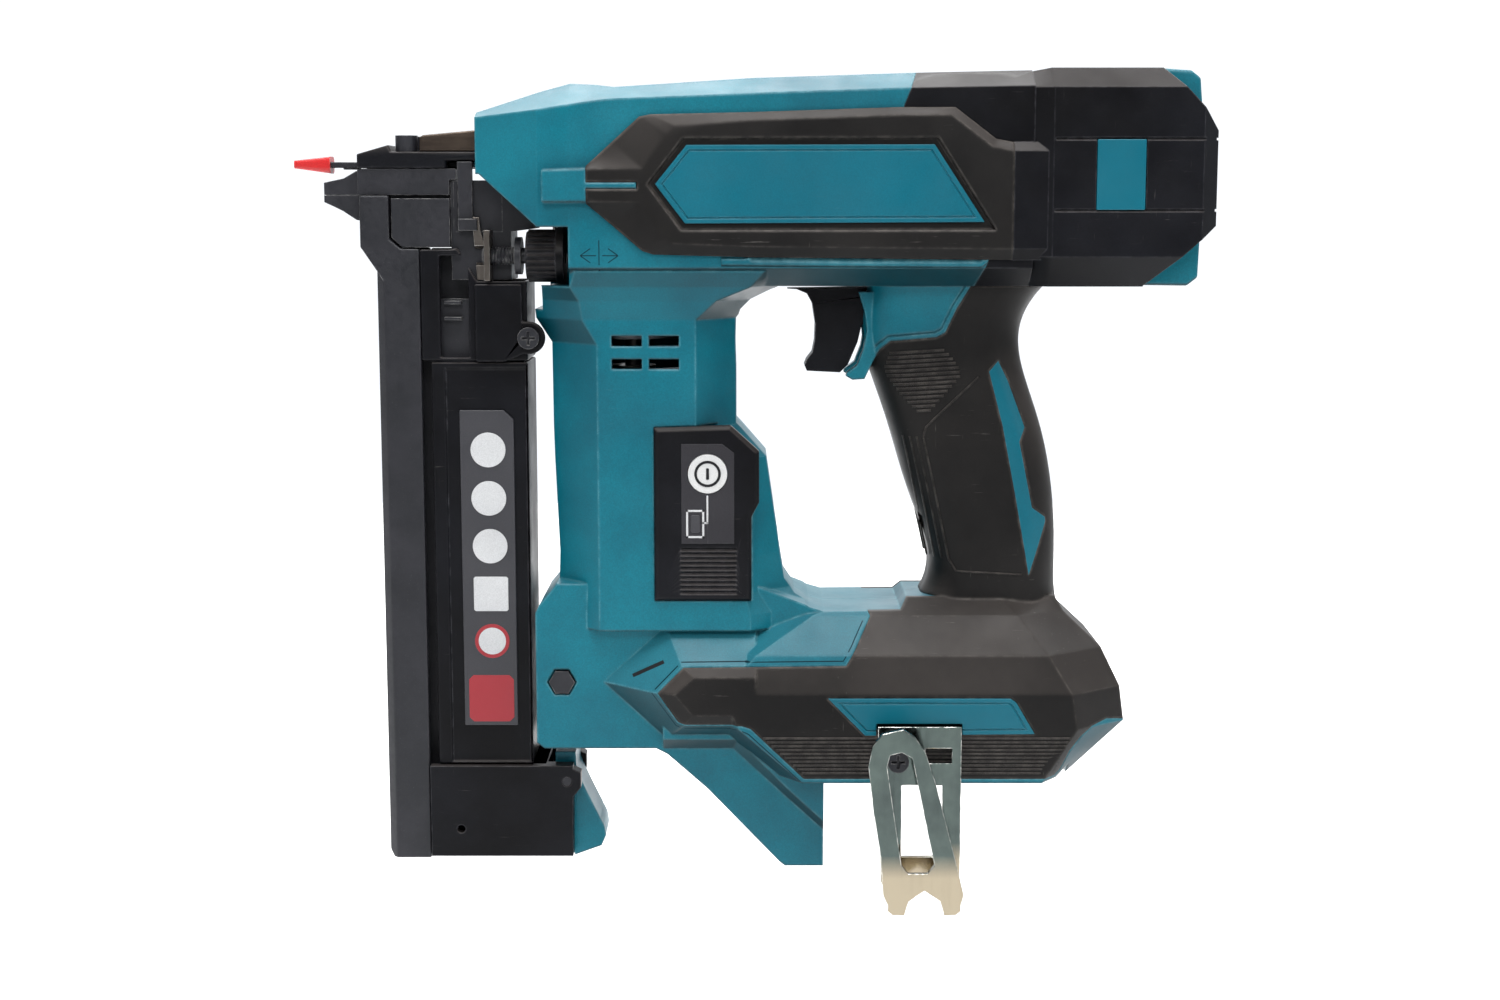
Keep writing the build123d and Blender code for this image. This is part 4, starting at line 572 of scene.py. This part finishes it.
# ---------------------------------------------------------------- stage, light and camera
def make_floor():
    """A pale floor that ends well behind the tool, where the white surroundings take over.

    It lies under the open magazine, which slides down past the rest of the tool.
    """
    low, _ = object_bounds()
    magazine = next(joint for joint in frame["joints"] if joint["name"] == "magazine_slide")
    floor_z = low.z - magazine["range_m"][1]
    half_width, near, far = 60.0, -60.0, 1.8
    corners = [(-half_width, near), (half_width, near), (half_width, far), (-half_width, far)]
    mesh = bpy.data.meshes.new("floor")
    mesh.from_pydata([(x, y, floor_z) for x, y in corners], [], [(0, 1, 2, 3)])
    floor = bpy.data.objects.new("floor", mesh)
    bpy.context.scene.collection.objects.link(floor)
    mat = bpy.data.materials.new("floor")
    mat.use_nodes = True
    shader = mat.node_tree.nodes["Principled BSDF"]
    shader.inputs["Base Color"].default_value = (0.9, 0.9, 0.9, 1)
    shader.inputs["Roughness"].default_value = 0.9
    shader.inputs["Specular IOR Level"].default_value = 0.1
    mesh.materials.append(mat)


def add_light(name, place, size, power, target=(0.15, 0.0, -0.1)):
    """A soft rectangular light, aimed at the tool if it has no other target."""
    data = bpy.data.lights.new(name, "AREA")
    data.shape = "RECTANGLE"
    data.size, data.size_y = size
    data.energy = power
    lamp = bpy.data.objects.new(name, data)
    lamp.location = place
    lamp.rotation_euler = (Vector(target) - Vector(place)).to_track_quat("-Z", "Y").to_euler()
    bpy.context.scene.collection.objects.link(lamp)


def make_lights():
    """Soft light from above and the front, a white floor behind, and a studio that is dark in front."""
    add_light("overhead", (0.12, -0.35, 1.25), (1.2, 0.9), 26)
    add_light("front_high", (0.2, -1.35, 0.75), (0.9, 0.5), 9)
    add_light("front_left", (-1.2, -0.9, 0.4), (0.5, 1.0), 1.8)
    add_light("front_right", (1.4, -0.9, 0.3), (0.5, 0.9), 2.2)
    add_light("behind", (0.2, 1.2, 0.7), (1.6, 1.0), 6)
    add_light("backdrop", (0.15, 0.9, 1.1), (3.6, 0.6), 66, target=(0.15, 1.6, -0.37))
    world = bpy.data.worlds.new("studio")
    world.use_nodes = True
    world.node_tree.nodes["Background"].inputs["Color"].default_value = (0.93, 0.96, 1.0, 1)
    # The studio is dark behind the camera and bright above and behind the tool.
    tree = world.node_tree
    direction = add(tree, "TexCoord").outputs["Generated"]
    depth = add(tree, "SeparateXYZ", {"Vector": direction}).outputs["Y"]
    room = spread(tree, depth, -0.75, 0.1, 0.09, 0.42)
    glow = spread(tree, depth, 0.6, 0.93, 0.0, 0.72)
    strength = add(tree, "Math", {0: room, 1: glow}, operation="ADD").outputs[0]
    tree.links.new(strength, tree.nodes["Background"].inputs["Strength"])
    bpy.context.scene.world = world


# The camera looks down a little at the left side from 0.75 m, as the photographer did.
CAMERA_PITCH = math.radians(8)
CAMERA_DISTANCE = 0.750
CAMERA_TARGET = Vector((0.1498, -0.025, -0.106))
CAMERA_LENS = 51.43
SENSOR_WIDTH = 36.0


def make_camera():
    """A camera that sees the left side, level with the tool's middle."""
    data = bpy.data.cameras.new("camera")
    data.lens = CAMERA_LENS
    data.sensor_width = SENSOR_WIDTH
    camera = bpy.data.objects.new("camera", data)
    looking = Vector((0, math.cos(CAMERA_PITCH), -math.sin(CAMERA_PITCH)))
    camera.location = CAMERA_TARGET - CAMERA_DISTANCE * looking
    camera.rotation_euler = (math.pi / 2 - CAMERA_PITCH, 0, 0)
    bpy.context.scene.collection.objects.link(camera)
    bpy.context.scene.camera = camera


make_floor()
make_lights()
make_camera()
bpy.context.scene.view_settings.view_transform = "Standard"
